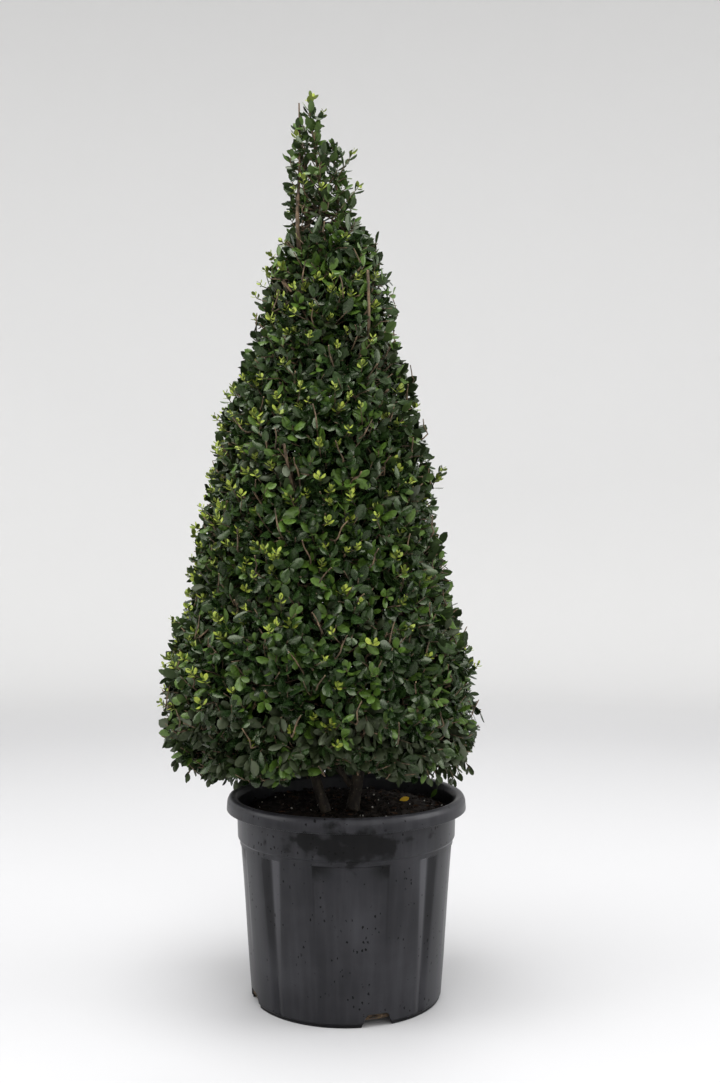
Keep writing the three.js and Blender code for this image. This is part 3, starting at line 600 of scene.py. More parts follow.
def joined(name, copies, faces, finishes, face_finish=None, sharp_pairs=()):
    """One mesh from an array of copies, in millimetres, that all have the same faces."""
    copies = np.asarray(copies, float)
    count, corners = copies.shape[:2]
    sizes = np.array([len(face) for face in faces])
    pattern = np.concatenate([np.array(face) for face in faces])
    loops = (pattern[None, :] + corners * np.arange(count)[:, None]).ravel()
    starts = np.concatenate(([0], np.cumsum(np.tile(sizes, count))[:-1]))
    mesh = bpy.data.meshes.new(name)
    mesh.vertices.add(count * corners)
    mesh.vertices.foreach_set("co", (copies * MM).astype(np.float32).ravel())
    mesh.loops.add(len(loops))
    mesh.loops.foreach_set("vertex_index", loops.astype(np.int32))
    mesh.polygons.add(len(starts))
    mesh.polygons.foreach_set("loop_start", starts.astype(np.int32))
    for finish in finishes:
        mesh.materials.append(finish.material)
    if face_finish is not None:
        mesh.polygons.foreach_set("material_index", np.tile(face_finish, count).astype(np.int32))
    mesh.update(calc_edges=True)
    mesh.shade_smooth()
    if sharp_pairs:
        table = np.zeros((corners, corners), bool)
        for first, second in sharp_pairs:
            table[first, second] = table[second, first] = True
        ends = np.empty(2 * len(mesh.edges), np.int32)
        mesh.edges.foreach_get("vertices", ends)
        ends = ends.reshape(-1, 2) % corners
        sharp = mesh.attributes.new("sharp_edge", "BOOLEAN", "EDGE")
        sharp.data.foreach_set("value", table[ends[:, 0], ends[:, 1]])
    return linked(name, mesh)


def unit(vector):
    return vector / np.linalg.norm(vector)


print("joined copies ready")

# %% [markdown]
# Crumbs of soil, bark bits and white grit lie loose on top, most of the grit in front. All are one
# rough lump from an icosphere, flattened, sized and turned at random by a seeded generator.
# %% Crumbs, bark bits and grit on the soil
CRUMBS = 620
GRIT = 30
GRIT_FLATNESS = (1, 0.9, 0.8)
GRIT_MIDDLE = (28, -82)
GRIT_SPREAD = 26
BARK_BITS = 90
LUMP_MARGIN = 4
LUMP_TURN = 6.3
LUMP_TILT = 0.5
LUMP_ROUGHNESS = 0.25
LUMP_SHOWN = 0.75

lump = bmesh.new()
bmesh.ops.create_icosphere(lump, subdivisions=1, radius=0.5)
lump.verts.index_update()
LUMP_CORNERS = np.array([vertex.co for vertex in lump.verts])
LUMP_FACES = [[vertex.index for vertex in face.verts] for face in lump.faces]
lump.free()


def scattered(count, sizes, flatness, seed, middle=None):
    """Copies of the lump on the soil, all over it or round a middle."""
    chance = np.random.default_rng(seed)
    room = soil_edge_radius - LUMP_MARGIN
    copies = []
    while len(copies) < count:
        radius = room * math.sqrt(chance.random())
        heading = chance.random() * FULL_TURN
        x, y = radius * math.cos(heading), radius * math.sin(heading)
        if middle:
            x, y = (start + chance.normal() * GRIT_SPREAD for start in middle)
        if math.hypot(x, y) > room:
            continue
        size = chance.uniform(*sizes)
        turn = Matrix.Rotation(chance.random() * LUMP_TURN, 3, "Z")
        turn = turn @ Matrix.Rotation(chance.normal() * LUMP_TILT, 3, "X")
        rough = LUMP_CORNERS * (1 + LUMP_ROUGHNESS * chance.standard_normal(LUMP_CORNERS.shape))
        place = (x, y, soil_height(x, y) + size * flatness[2] * LUMP_SHOWN)
        copies.append(rough * np.array(flatness) * size @ np.array(turn).T + place)
    return copies


white_grit = Finish("white_grit", Roughness=0.85)
shades = grain(white_grit.place, 500, 3).step(0.35, 0.65)
white_grit.feed("Base Color", blend(shades, rgb(0.50, 0.47, 0.41), rgb(0.70, 0.68, 0.63)))
white_grit.bump(grain(white_grit.place, 900, 4), 0.5, 0.0004)
bark_bit = Finish("bark_bit", Specular_IOR_Level=0.2)
shades = grain(bark_bit.place, 220, 3).step(0.35, 0.65)
bark_bit.feed("Base Color", blend(shades, rgb(0.018, 0.010, 0.006), rgb(0.075, 0.038, 0.020)))
bark_bit.feed("Roughness", 0.7 + grain(bark_bit.place, 300) * 0.25)

grit = scattered(GRIT, sizes=(1.0, 2.6), flatness=GRIT_FLATNESS, seed=12)
grit += scattered(GRIT, sizes=(1.2, 3.0), flatness=GRIT_FLATNESS, seed=13, middle=GRIT_MIDDLE)
crumbs = scattered(CRUMBS, sizes=(1.5, 5), flatness=(1, 0.8, 0.7), seed=11)
bits = scattered(BARK_BITS, sizes=(4, 10), flatness=(1, 0.45, 0.22), seed=14)
for name, copies, finish in (
    ("soil_crumbs", crumbs, earth), ("perlite_grit", grit, white_grit), ("bark_bits", bits, bark_bit),
):
    piece = joined(name, copies, LUMP_FACES, [finish])
    piece.data.shade_flat()
    stands_for(piece, "potting_soil", "soil")
    print(name, len(copies), "lumps")

# %% [markdown]
# Stems and boughs are tapering limbs. Their rings are read from the solid model, a smooth line is
# drawn through the rings' centres, and a circle is extruded along it ring by ring. Noise on the
# vertices gives the bark its ridges and knots, which a bump map alone would lose at the outline.
# %% Limbs
RING_GAP = 4.0
LIMB_SIDES = 16
LIMB_STEP = 3.5
END_SLACK = 1e-9
BARK_RIDGE = 0.07
RIDGE_SIZE = (1.6, 1.6, 9)
BARK_KNOT = 0.32
KNOT_SIZE = (16, 16, 22)
KNOT_LEAST = 0.25


def limb_rings(node):
    """Centres and radii of the rings of a limb of the solid model, in millimetres, from its foot."""
    places = np.array([vertex.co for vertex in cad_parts[node].data.vertices]) / MM
    places = np.unique(places.round(2), axis=0)
    middle = places.mean(0)
    along = np.linalg.svd(places - middle)[2][0]
    share = (places - middle) @ (along * np.sign(along[2]))
    order = np.argsort(share)
    splits = np.nonzero(np.diff(share[order]) > RING_GAP)[0] + 1
    rings = [places[group] for group in np.split(order, splits)]
    centres = np.array([ring.mean(0) for ring in rings])
    radii = [np.linalg.norm(ring - ring.mean(0), axis=1).max() for ring in rings]
    return centres, np.array(radii)


def smooth_line(places, steps):
    """Evenly dealt places on a smooth curve through a few places (Catmull-Rom)."""
    places = np.asarray(places, float)
    padded = np.vstack((2 * places[0] - places[1], places, 2 * places[-1] - places[-2]))
    spans = len(places) - 1
    result = []
    for step in range(steps + 1):
        spot = min(step / steps * spans, spans - END_SLACK)
        index = int(spot)
        t = spot - index
        a, b, c, d = padded[index:index + 4]
        straight = 2 * b + (c - a) * t
        bent = straight + (2 * a - 5 * b + 4 * c - d) * t ** 2
        result.append((bent + (3 * b - a - 3 * c + d) * t ** 3) / 2)
    return np.array(result)


def ring_frames(centres):
    """A turn for each ring of a line, with its Z along the line and no twist."""
    side = np.array((1.0, 1.0, 0.0))
    frames = []
    for step in np.gradient(centres, axis=0):
        along = unit(step)
        side = unit(side - along * (side @ along))
        frames.append(np.column_stack((side, np.cross(along, side), along)))
    return frames


def grow_limb(made, centres, radii):
    """A closed limb in a bmesh: a circle, extruded and moved on from ring to ring."""
    ring_places = [
        Matrix.Translation(Vector(centre * MM)) @ Matrix(turn).to_4x4() @ Matrix.Scale(radius * MM, 4)
        for centre, radius, turn in zip(centres, radii, ring_frames(centres))
    ]
    grown = bmesh.ops.create_circle(made, cap_ends=True, segments=LIMB_SIDES, radius=1)["verts"]
    bmesh.ops.transform(made, matrix=ring_places[0], verts=grown)
    rim = list(dict.fromkeys(edge for vertex in grown for edge in vertex.link_edges))
    for before, after in zip(ring_places, ring_places[1:]):
        pushed = bmesh.ops.extrude_edge_only(made, edges=rim)["geom"]
        ring = [item for item in pushed if isinstance(item, bmesh.types.BMVert)]
        bmesh.ops.transform(made, matrix=after @ before.inverted(), verts=ring)
        edges = [item for item in pushed if isinstance(item, bmesh.types.BMEdge)]
        rim = [edge for edge in edges if set(edge.verts) <= set(ring)]
        grown = grown + ring
    bmesh.ops.contextual_create(made, geom=rim)
    return grown


def roughen(vertices, centres):
    """Bark relief: ridges along the limb and a few swellings."""
    for vertex in vertices:
        place = np.array(vertex.co) / MM
        outward = place - centres[np.argmin(np.linalg.norm(centres - place, axis=1))]
        ridge = noise.noise(Vector(place / RIDGE_SIZE))
        knot = max(0, noise.noise(Vector(place / KNOT_SIZE)) - KNOT_LEAST)
        vertex.co = Vector((place + outward * (BARK_RIDGE * ridge + BARK_KNOT * knot)) * MM)


print("limb helpers ready")

# %% [markdown]
# The bark of old stems is grey-brown, with fissures along them and pale flecks. One finish serves
# stems, twigs and shoots, each with its own two colours. The three uprights come first, then boughs,
# which reach back a little into the stem that they leave.
# %% Stems and boughs
UPRIGHT_NAMES = ("trunk", "second_stem", "left_leader")
FOOT_SHARE = 0.5
REACH_BACK = 4.0
FLECK_COLOUR = rgb(0.20, 0.17, 0.13)
bough_names = sorted(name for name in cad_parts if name.startswith("bough_"))
limb_lines = {}


def stem_bark(name, dark, pale, scale):
    """Bark with fissures and pale flecks."""
    finish = Finish(name, Specular_IOR_Level=0.3)
    fissures = grain(stretched(finish.place, (1, 1, 0.25)), scale, 6).step(0.35, 0.68)
    flecks = grain(finish.place, 420, 3).step(0.6, 0.72)
    finish.feed("Base Color", blend(flecks * 0.35, blend(fissures, dark, pale), FLECK_COLOUR))
    finish.feed("Roughness", 0.72 + fissures * 0.2)
    finish.bump(fissures + flecks * 0.4, 0.5, 0.0007)
    return finish


old_bark = stem_bark("old_bark", rgb(0.018, 0.014, 0.010), rgb(0.066, 0.052, 0.038), 190)
for name, nodes in (("upright_stems", UPRIGHT_NAMES), ("boughs", bough_names)):
    made = bmesh.new()
    for node in nodes:
        limb_lines[node], radii = limb_rings(node)
        centres = limb_lines[node].copy()
        if node in ("left_leader", *bough_names):
            centres[0] -= unit(centres[1] - centres[0]) * REACH_BACK
        radii[0] = mix(radii[1], radii[0], FOOT_SHARE)
        steps = int(np.linalg.norm(np.diff(centres, axis=0), axis=1).sum() / LIMB_STEP)
        line = smooth_line(centres, steps)
        girth = np.interp(np.linspace(0, len(radii) - 1, steps + 1), np.arange(len(radii)), radii)
        roughen(grow_limb(made, line, girth), line)
    bmesh.ops.recalc_face_normals(made, faces=made.faces)
    piece = piece_from(made, name, old_bark)
    stands_for(piece, "bark", *nodes)
    print(name, len(piece.data.polygons), "faces")

# %% [markdown]
# The crown grows by the rule of the solid model. Its clipped outline is a turned surface, and twig
# tips are dealt over it evenly: each next tip turns by the golden angle, and its height follows the
# share of the area below it. The same numbers give the same twigs as in the solids.
# %% Crown outline and the seeded rule
CROWN_AXIS = ((-29, 600), (-22, 800), (-23, 862), (-42, 990))
UNDERSIDE = ((25, 262), (92, 252))
CROWN_OUTLINE = (
    (92, 278), (150, 260), (172, 274), (179, 322), (170, 404), (152, 445), (113, 650), (53, 862),
)
TIP_OUTLINE = ((53, 862), (37, 947), (26, 976), (9, 1008), (5, 1022))
WHOLE_OUTLINE = CROWN_OUTLINE[1:-1] + TIP_OUTLINE
TIP_SLIM = 0.86
CROWN_TOP = 1022
CROWN_FOOT = 246
TIP_FOOT = 868
FLOOR_RISE = 0.5
Tier = namedtuple("Tier", "name foot sectors turn hollow core entry")
TIERS = (
    Tier("skirt", CROWN_FOOT, 6, math.radians(20), 78, 286, 310),
    Tier("lower", 430, 5, math.radians(52), 54, 0, 418),
    Tier("middle", 600, 4, math.radians(10), 36, 0, 570),
    Tier("upper", 745, 3, math.radians(90), 26, 0, 720),
)
SEED_SPREAD = 2654435761
SEED_FACTOR = 1664525
SEED_STEP = 1013904223
SEED_RANGE = 2 ** 32


def dealer(seed):
    """Repeatable numbers from 0 to 1, a fresh run of them for each seed."""
    state = (seed + 1) * SEED_SPREAD % SEED_RANGE

    def deal():
        nonlocal state
        state = (state * SEED_FACTOR + SEED_STEP) % SEED_RANGE
        return state / SEED_RANGE

    return deal


def swing(deal, width):
    """A dealt number round zero."""
    return (deal() - 0.5) * width


def value_at(table, height):
    values, heights = zip(*table)
    return float(np.interp(height, heights, values))


def outline_radius(height):
    return value_at(WHOLE_OUTLINE, height)


def crown_point(heading, radius, height):
    x = value_at(CROWN_AXIS, height) + radius * math.cos(heading)
    return np.array((x, radius * math.sin(heading), height))


class ClippedSurface:
    """A turned surface, on which places are found by their share of its area."""

    def __init__(self, outline):
        self.bands = []
        for (last, foot), (radius, height) in zip(outline, outline[1:]):
            slant = math.hypot(radius - last, height - foot)
            self.bands.append((last, foot, radius, height, slant, math.pi * (radius + last) * slant))
        self.area = sum(band[-1] for band in self.bands)

    def at(self, share):
        """Radius, height and outward slope at a share of the area from the foot."""
        area = share * self.area
        index = 0
        while index < len(self.bands) - 1 and area > self.bands[index][-1]:
            area -= self.bands[index][-1]
            index += 1
        last, foot, radius, height, slant, _ = self.bands[index]
        grow = radius - last
        part = (math.sqrt(last ** 2 + grow * area / (math.pi * slant)) - last) / grow
        return mix(last, radius, part), mix(foot, height, part), (height - foot) / slant, -grow / slant


crown_surface = ClippedSurface(CROWN_OUTLINE)
tip_surface = ClippedSurface([(radius * TIP_SLIM, height) for radius, height in TIP_OUTLINE])
under_surface = ClippedSurface(UNDERSIDE)


def turned(angle):
    return math.atan2(math.sin(angle), math.cos(angle))


def tier_floor(index, radius):
    if index == 0:
        return CROWN_FOOT
    foot = TIERS[index].foot if index < len(TIERS) else TIP_FOOT
    return foot + FLOOR_RISE * (radius - outline_radius(foot))


print("clipped surface:", round(crown_surface.area * MM * MM, 3), "square metres")

# %% [markdown]
# Each block of foliage hangs on one thin stem from a bough's tip or from an upright. Its twigs leave
# that stem, bend at a knee and run out to their places on the clipped surface.
# %% Main twigs
TWIG_COUNT = 196
TWIG_SCATTER = 0.2
TWIG_TIP_DEPTH = 14
TWIG_TIP_SPREAD = 7
TWIG_KNEE = 26
TWIG_LIFT = 0.45
TWIG_OUT = 0.5
TWIG_START = (0.6, 0.95)
TWIG_WALL_MARGIN = 8
# Heading, height and reach of each shoot that stands out.
STRAY_SHOOTS = ((math.radians(-12), 578, 13), (math.radians(176), 640, 10))
STRAY_WITHIN = 32
MASS_STEM_STRAIGHT = 10
TUBE_RINGS = 9


def mass_heading(form, sector):
    return form.turn + sector * FULL_TURN / form.sectors


def mass_stem(tier, sector):
    """Places that the stem of one block of foliage runs through."""
    form = TIERS[tier]
    middle = (form.hollow + outline_radius(form.foot)) / 2
    floor = max(tier_floor(tier, middle), form.core)
    goal = crown_point(mass_heading(form, sector), middle, (floor + tier_floor(tier + 1, middle)) / 2)
    bough = limb_lines.get(f"bough_{form.name}_{sector + 1}")
    if bough is not None:
        start = bough[-1]
        along = unit(start - bough[-2])
    else:
        starts = []
        for line in map(limb_lines.get, UPRIGHT_NAMES):
            starts.append(np.array([np.interp(form.entry, line[:, 2], side) for side in line.T]))
        start = min(starts, key=lambda place: np.linalg.norm(place[:2] - goal[:2]))
        along = unit(goal - start)
    return np.array((start, start + along * MASS_STEM_STRAIGHT, goal))


def stray_reach(heading, radius, height):
    for shoot_heading, shoot_height, reach in STRAY_SHOOTS:
        round_way = abs(turned(heading - shoot_heading)) * radius
        if math.hypot(round_way, height - shoot_height) < STRAY_WITHIN:
            return reach
    return 0


def outward_way(heading, outward, upward):
    spread = outward + TWIG_OUT
    return unit(np.array((spread * math.cos(heading), spread * math.sin(heading), upward + TWIG_LIFT)))


def mass_of(heading, radius, height):
    """Tier and sector that a place on the surface belongs to."""
    tier = 0
    while tier < len(TIERS) - 1 and height > tier_floor(tier + 1, radius):
        tier += 1
    form = TIERS[tier]
    share = turned(heading - form.turn) / (FULL_TURN / form.sectors)
    return tier, round(share) % form.sectors


def main_twig(index):
    """Places of one twig of the solid model, and the block that it belongs to."""
    deal = dealer(index)
    radius, height, outward, upward = crown_surface.at((index + 0.5) / TWIG_COUNT)
    heading = turned(index * GOLDEN_TURN + swing(deal, TWIG_SCATTER))
    depth = TWIG_TIP_DEPTH + swing(deal, TWIG_TIP_SPREAD)
    tier, sector = mass_of(heading, radius, height)
    middle = mass_heading(TIERS[tier], sector)
    room = math.pi / TIERS[tier].sectors - TWIG_WALL_MARGIN / radius
    heading = middle + min(room, max(-room, turned(heading - middle)))
    low, high = (tier_floor(tier + step, radius) for step in (0, 1))
    settled = min(high - TWIG_WALL_MARGIN, max(low + TWIG_WALL_MARGIN, height))
    if settled != height:
        radius = outline_radius(settled)
    stray = stray_reach(heading, radius, settled)
    along = outward_way(heading, outward, upward)
    tip = crown_point(heading, radius, settled) + along * (stray - depth)
    knee = tip - along * (TWIG_KNEE + stray)
    line = smooth_line(mass_lines[tier, sector], TUBE_RINGS)
    start = line[round(mix(*TWIG_START, deal()) * TUBE_RINGS)]
    return (tier, sector), smooth_line((start, knee, tip), TUBE_RINGS)


mass_lines = {
    (tier, sector): mass_stem(tier, sector)
    for tier, form in enumerate(TIERS) for sector in range(form.sectors)
}
main_twigs = [main_twig(index) for index in range(TWIG_COUNT)]
print("main twigs:", len(main_twigs), "on", len(mass_lines), "stems")

# %% [markdown]
# Shears leave soft dents in the surface, and the hem hangs ragged: high in front and at the right,
# where stems and sky show, and low at the back. These rules say whether a leaf's tip may be where
# it is. High on the left, a patch stays free, since a thick stem shows there.
# %% Limits of the crown
OVERHANG = 4
DENT_DEPTH = 16
DENT_SIZE = 60
HEM = 243
HEM_RISE = 19
HEM_REACH = 150
HEM_BACK = 10
HEM_LEAST = 229
HEM_RAG = 12
HEM_RAG_SIZE = 30
RIGHT_RISE = 18
RIGHT_START = (65, 115)
STEMS_MIDDLE = -5
STEMS_WIDTH = 46
STEMS_RISE = 26
BARE_MIDDLE = -53
BARE_HALF_WIDTH = 6
BARE_DEPTH = -16
BARE_HEIGHTS = (836, 897)


def share_of(value):
    return min(1.0, max(0.0, value))


def hem(place):
    """Lowest height that leaves hang to."""
    stems_show = math.exp(-((place[0] - STEMS_MIDDLE) / STEMS_WIDTH) ** 2)
    front = share_of(-place[1] / HEM_REACH) * (HEM_RISE + STEMS_RISE * stems_show)
    rise = front - share_of(place[1] / HEM_REACH) * HEM_BACK
    rise += RIGHT_RISE * smooth_step(*RIGHT_START, place[0])
    return max(HEM_LEAST, HEM + rise + HEM_RAG * noise.noise(Vector(place / HEM_RAG_SIZE)))


def dent(place):
    return DENT_DEPTH * max(0, noise.noise(Vector(place / DENT_SIZE)))


def inside(place, stray=0):
    """Whether a place is in the crown, or past its outline by no more than a stray reach."""
    limit = outline_radius(place[2]) + OVERHANG + stray - dent(place)
    radius = math.hypot(place[0] - value_at(CROWN_AXIS, place[2]), place[1])
    return place[2] > hem(place) - stray and radius < limit


def bare(place):
    in_front = place[1] < BARE_DEPTH and abs(place[0] - BARE_MIDDLE) < BARE_HALF_WIDTH
    return in_front and BARE_HEIGHTS[0] < place[2] < BARE_HEIGHTS[1]


print("hem in front of the stems:", round(hem(np.array((0.0, -HEM_REACH, HEM)))), "mm high")

# %% [markdown]
# Leaves stand round a twig's end by the golden angle, close together and steep at the tip, wider
# apart and flatter further back. A leaf is kept as its root, two directions and four sizes, and each
# spray has one kind of leaf, so that colours lie in patches as on a living plant.
# %% Leaf sprays
LEAVES_EACH = (6, 10)
LEAF_SPACING = (2.6, 5.4)
LEAF_WIDTHS = {"young": 0.62}
LEAF_WIDTH = 0.54
LEAF_SPREAD = (0.5, 1.25)
LEAF_LIFT = 0.35
LEAF_ROLL = 0.9
LEAF_LEAN = 0.4
LEAF_SWAY = 0.35
LEAF_DROOP = 0.55
LEAF_SIZES = (0.78, 1.15)
LEAF_BREADTHS = (0.85, 1.15)
LEAF_FOLDS = (0.15, 0.65)
LEAF_BOWS = (0.02, 0.22)
TIP_LEAF_SHARE = 0.8
FIRST_BACK = 0.6
SPACING_SIZES = (0.8, 1.2)
STEEP = 0.9
SAG = 0.6
SAG_HEIGHTS = (380, 270)
DULL_HEIGHTS = (360, 265)
DULL_CHANCE = (0.05, 0.42)
LIVELY_HEIGHTS = (700, 900)
LIVELY_CHANCE = (0.25, 0.5)
GREEN_CHANCE = 0.7
leaves = {kind: [] for kind in ("deep", "green", "lively", "dull", "young", "fallen")}


def sideways(along):
    side = unit(np.cross(along, UP if abs(along[2]) < STEEP else (1.0, 0, 0)))
    return side, np.cross(along, side)


def jittered(along, deal, amount):
    side, across = sideways(along)
    return unit(along + side * swing(deal, 2) * amount + across * swing(deal, 2) * amount)


def add_leaf(kind, root, reach, face, length, deal, stray):
    """Keeps one leaf, unless its tip would leave the crown or it hides the bare stem."""
    blade = reach * length
    if not inside(root + blade, stray) or any(bare(root + blade * share) for share in (0, 0.5, 1)):
        return
    face = unit(face - reach * (face @ reach))
    roll = swing(deal, LEAF_ROLL)
    face = face * math.cos(roll) + np.cross(reach, face) * math.sin(roll)
    width = length * LEAF_WIDTHS.get(kind, LEAF_WIDTH) * mix(*LEAF_BREADTHS, deal())
    fold = mix(*LEAF_FOLDS, deal())
    bow = mix(*LEAF_BOWS, deal())
    leaves[kind].append((root, reach, face, length, width, fold, bow))


def spray(kind, line, size, deal, stray=0, count=None, spread=LEAF_SPREAD, spacing=LEAF_SPACING):
    """Leaves round the end of a twig, from its tip back."""
    along = unit(line[-1] - line[-2])
    side, across = sideways(along)
    lengths = np.linalg.norm(np.diff(line, axis=0), axis=1)
    marks = np.concatenate(([0], np.cumsum(lengths)))
    first = deal() * FULL_TURN
    count = count or round(mix(*LEAVES_EACH, deal()))
    back = FIRST_BACK
    for number in range(count):
        share = number / max(1, count - 1)
        spot = max(0.0, lengths.sum() - back)
        root = np.array([np.interp(spot, marks, axis) for axis in line.T])
        angle = first + number * GOLDEN_TURN
        out = side * math.cos(angle) + across * math.sin(angle)
        lean = mix(*spread, share) + swing(deal, LEAF_LEAN)
        reach = along * math.cos(lean) + out * math.sin(lean)
        sag = SAG * smooth_step(*SAG_HEIGHTS, root[2])
        reach = unit(reach + UP * ((deal() - LEAF_DROOP) * LEAF_SWAY - sag))
        face = along * math.sin(lean) - out * math.cos(lean) + UP * LEAF_LIFT
        length = size * mix(*LEAF_SIZES, deal()) * mix(TIP_LEAF_SHARE, 1, min(1, 2 * share))
        add_leaf(kind, root, reach, face, length, deal, stray)
        back += mix(*spacing, share) * mix(*SPACING_SIZES, deal())


def leaf_kind(place, deal):
    """Kind of leaf that a spray has: dull ones hang low, and lively ones are commoner high up, partly as
    paler new growth and partly as painted light on the top.
    """
    if deal() < mix(*DULL_CHANCE, smooth_step(*DULL_HEIGHTS, place[2])):
        return "dull"
    chance = deal()
    # Lively leaves high up are partly paler new growth and partly painted light on the lit top.
    if chance < mix(*LIVELY_CHANCE, smooth_step(*LIVELY_HEIGHTS, place[2])):
        return "lively"
    return "green" if chance < GREEN_CHANCE else "deep"


print("kinds of leaf:", *leaves)

# %% [markdown]
# The rule of the main twigs is carried on to finer ones: the same dealing with a dozen times as many
# tips, each of which grows from the nearest main twig of its own block. An inner layer and one below
# fill the shade with deep green. Soft yellow-green shoots are commonest on the sunny left.
# %% Fine twigs
FINE_LAYERS = (
    {"count": 2450, "seed": 5000, "depths": (1, 22), "surface": crown_surface, "shaded": False},
    {"count": 900, "seed": 9000, "depths": (24, 75), "surface": crown_surface, "shaded": True},
    {"count": 130, "seed": 11000, "depths": (0, 22), "surface": under_surface, "shaded": True},
)
FINE_SCATTER = 0.16
FINE_STRAY = 0.3
FINE_BEND = 24
FINE_STEPS = 4
FINE_TILT = 0.55
FINE_ROOT = (0.3, 0.75)
LEAF_LENGTH = (13, 23)
LOOSE_SHARE = 0.16
LOOSE_REACH = 6
BACK_DROP = 30
BACK_HEIGHTS = (315, 275)
HEM_MARGIN = 22
SUNNY_SIDE = math.radians(198)
FRESH_CHANCE = (0.08, 0.44)
FRESH_HEIGHTS = (270, 480)
FRESH_LIFT = 0.4
FRESH_REACH = 8
FRESH_LENGTHS = (5, 9)
FRESH_SPREAD = (0.35, 0.95)
YOUNG_LENGTH = (6, 9.5)
YOUNG_LEAVES = (4, 7)
YOUNG_SPACING = (1.2, 2.4)
fine_lines = []
shoot_lines = []


def nearest_twig(tip, mass=None):
    """The main twig, of one block or of all, that ends nearest to a place."""
    lines = [line for key, line in main_twigs if mass in (None, key)]
    return min(lines, key=lambda line: np.linalg.norm(line[-1] - tip))


def young_shoot(line, size, deal, stray, count, spread, spacing=YOUNG_SPACING):
    shoot_lines.append(line)
    spray("young", line, size, deal, stray, count, spread, spacing)


def fresh_shoot(tip, along, heading, height, deal, stray):
    """A soft shoot at some twig ends."""
    light = (0.5 + 0.5 * math.cos(heading - SUNNY_SIDE)) ** 2
    if deal() > mix(*FRESH_CHANCE, light) * smooth_step(*FRESH_HEIGHTS, height):
        return
    straight, whole = FRESH_LENGTHS
    line = np.array((tip, tip + along * straight, tip + unit(along + UP * FRESH_LIFT) * whole))
    count = round(mix(*YOUNG_LEAVES, deal()))
    young_shoot(line, mix(*YOUNG_LENGTH, deal()), deal, stray + FRESH_REACH, count, FRESH_SPREAD)


def fine_twig(index, count, seed, depths, surface, shaded):
    """One fine twig with its spray of leaves."""
    deal = dealer(seed + index)
    radius, height, outward, upward = surface.at((index + 0.5) / count)
    heading = turned(index * GOLDEN_TURN + swing(deal, FINE_SCATTER))
    stray = stray_reach(heading, radius, height) * FINE_STRAY
    stray += LOOSE_REACH if deal() < LOOSE_SHARE else 0
    along = jittered(outward_way(heading, outward, upward), deal, FINE_TILT)
    clipped = crown_point(heading, radius, height)
    tip = clipped + along * (stray - mix(*depths, deal()) - dent(clipped))
    tip[2] -= BACK_DROP * share_of(tip[1] / HEM_REACH) * smooth_step(*BACK_HEIGHTS, tip[2])
    tip[2] = max(tip[2], hem(tip) + HEM_MARGIN * deal())
    if not inside(tip, stray):
        return
    parent = nearest_twig(tip, mass_of(heading, radius, height))
    root = parent[round(mix(*FINE_ROOT, deal()) * TUBE_RINGS)]
    line = smooth_line((root, tip - along * FINE_BEND, tip), FINE_STEPS)
    fine_lines.append(line)
    kind = "deep" if shaded else leaf_kind(tip, deal)
    spray(kind, line, mix(*LEAF_LENGTH, deal()), deal, stray)
    if not shaded:
        fresh_shoot(tip, along, heading, height, deal, stray)


print("fine twigs to grow:", sum(layer["count"] for layer in FINE_LAYERS))

# %% [markdown]
# A few twigs break the rule, as in the photo: some droop from the skirt with small dull leaves, and
# three shoots that the shears have missed stand out with soft ends. Each has a place of its own.
# %% Drooping twigs and missed shoots
# Heading in degrees, radius and height of each tip.
DROOPS = (
    (0, 158, 258), (-6, 168, 256), (-12, 158, 254), (-17, 150, 250), (-24, 160, 254), (-33, 152, 256),
    (-42, 158, 262), (-55, 148, 266), (9, 164, 256),
    (196, 164, 266), (208, 160, 258), (221, 152, 260), (236, 150, 264), (150, 158, 262), (60, 156, 260),
)
DROOP_SEED = 14000
DROOP_START = -4
DROOP_FALL = -1.6
DROOP_LEAF = 13
DROOP_REACH = 30
MISSED_SHOOTS = (
    ((62, 2, 530), (86, -6, 556), (105, -8, 586)),
    ((-30, -20, 845), (-16, -30, 866), (10, -26, 900)),
    ((-24, -8, 896), (-9, -14, 920), (4, -16, 940)),
)
MISSED_SEED = 15000
MISSED_LEAF = 14
MISSED_REACH = 30
SOFT_END = np.array((0, 4, 8))[:, None]

for number, (degrees, radius, height) in enumerate(DROOPS):
    deal = dealer(DROOP_SEED + number)
    heading = math.radians(degrees)
    tip = crown_point(heading, radius, height)
    along = unit(np.array((math.cos(heading), math.sin(heading), DROOP_FALL)))
    line = smooth_line((nearest_twig(tip)[DROOP_START], tip - along * FINE_BEND, tip), FINE_STEPS)
    fine_lines.append(line)
    spray("dull", line, DROOP_LEAF, deal, DROOP_REACH, count=9, spread=(0.3, 0.9), spacing=(3, 6))
for number, places in enumerate(MISSED_SHOOTS):
    deal = dealer(MISSED_SEED + number)
    line = smooth_line(places, FINE_STEPS)
    fine_lines.append(line)
    spray("green", line, MISSED_LEAF, deal, MISSED_REACH, count=7, spread=(0.4, 1.1), spacing=(4, 7))
    soft_end = line[-1] + unit(line[-1] - line[-2]) * SOFT_END
    young_shoot(soft_end, mix(*YOUNG_LENGTH, deal()), deal, MISSED_REACH, count=4, spread=(0.3, 0.9))
for layer in FINE_LAYERS:
    for index in range(layer["count"]):
        fine_twig(index, **layer)
print("leaves so far:", {kind: len(kept) for kind, kept in leaves.items()})

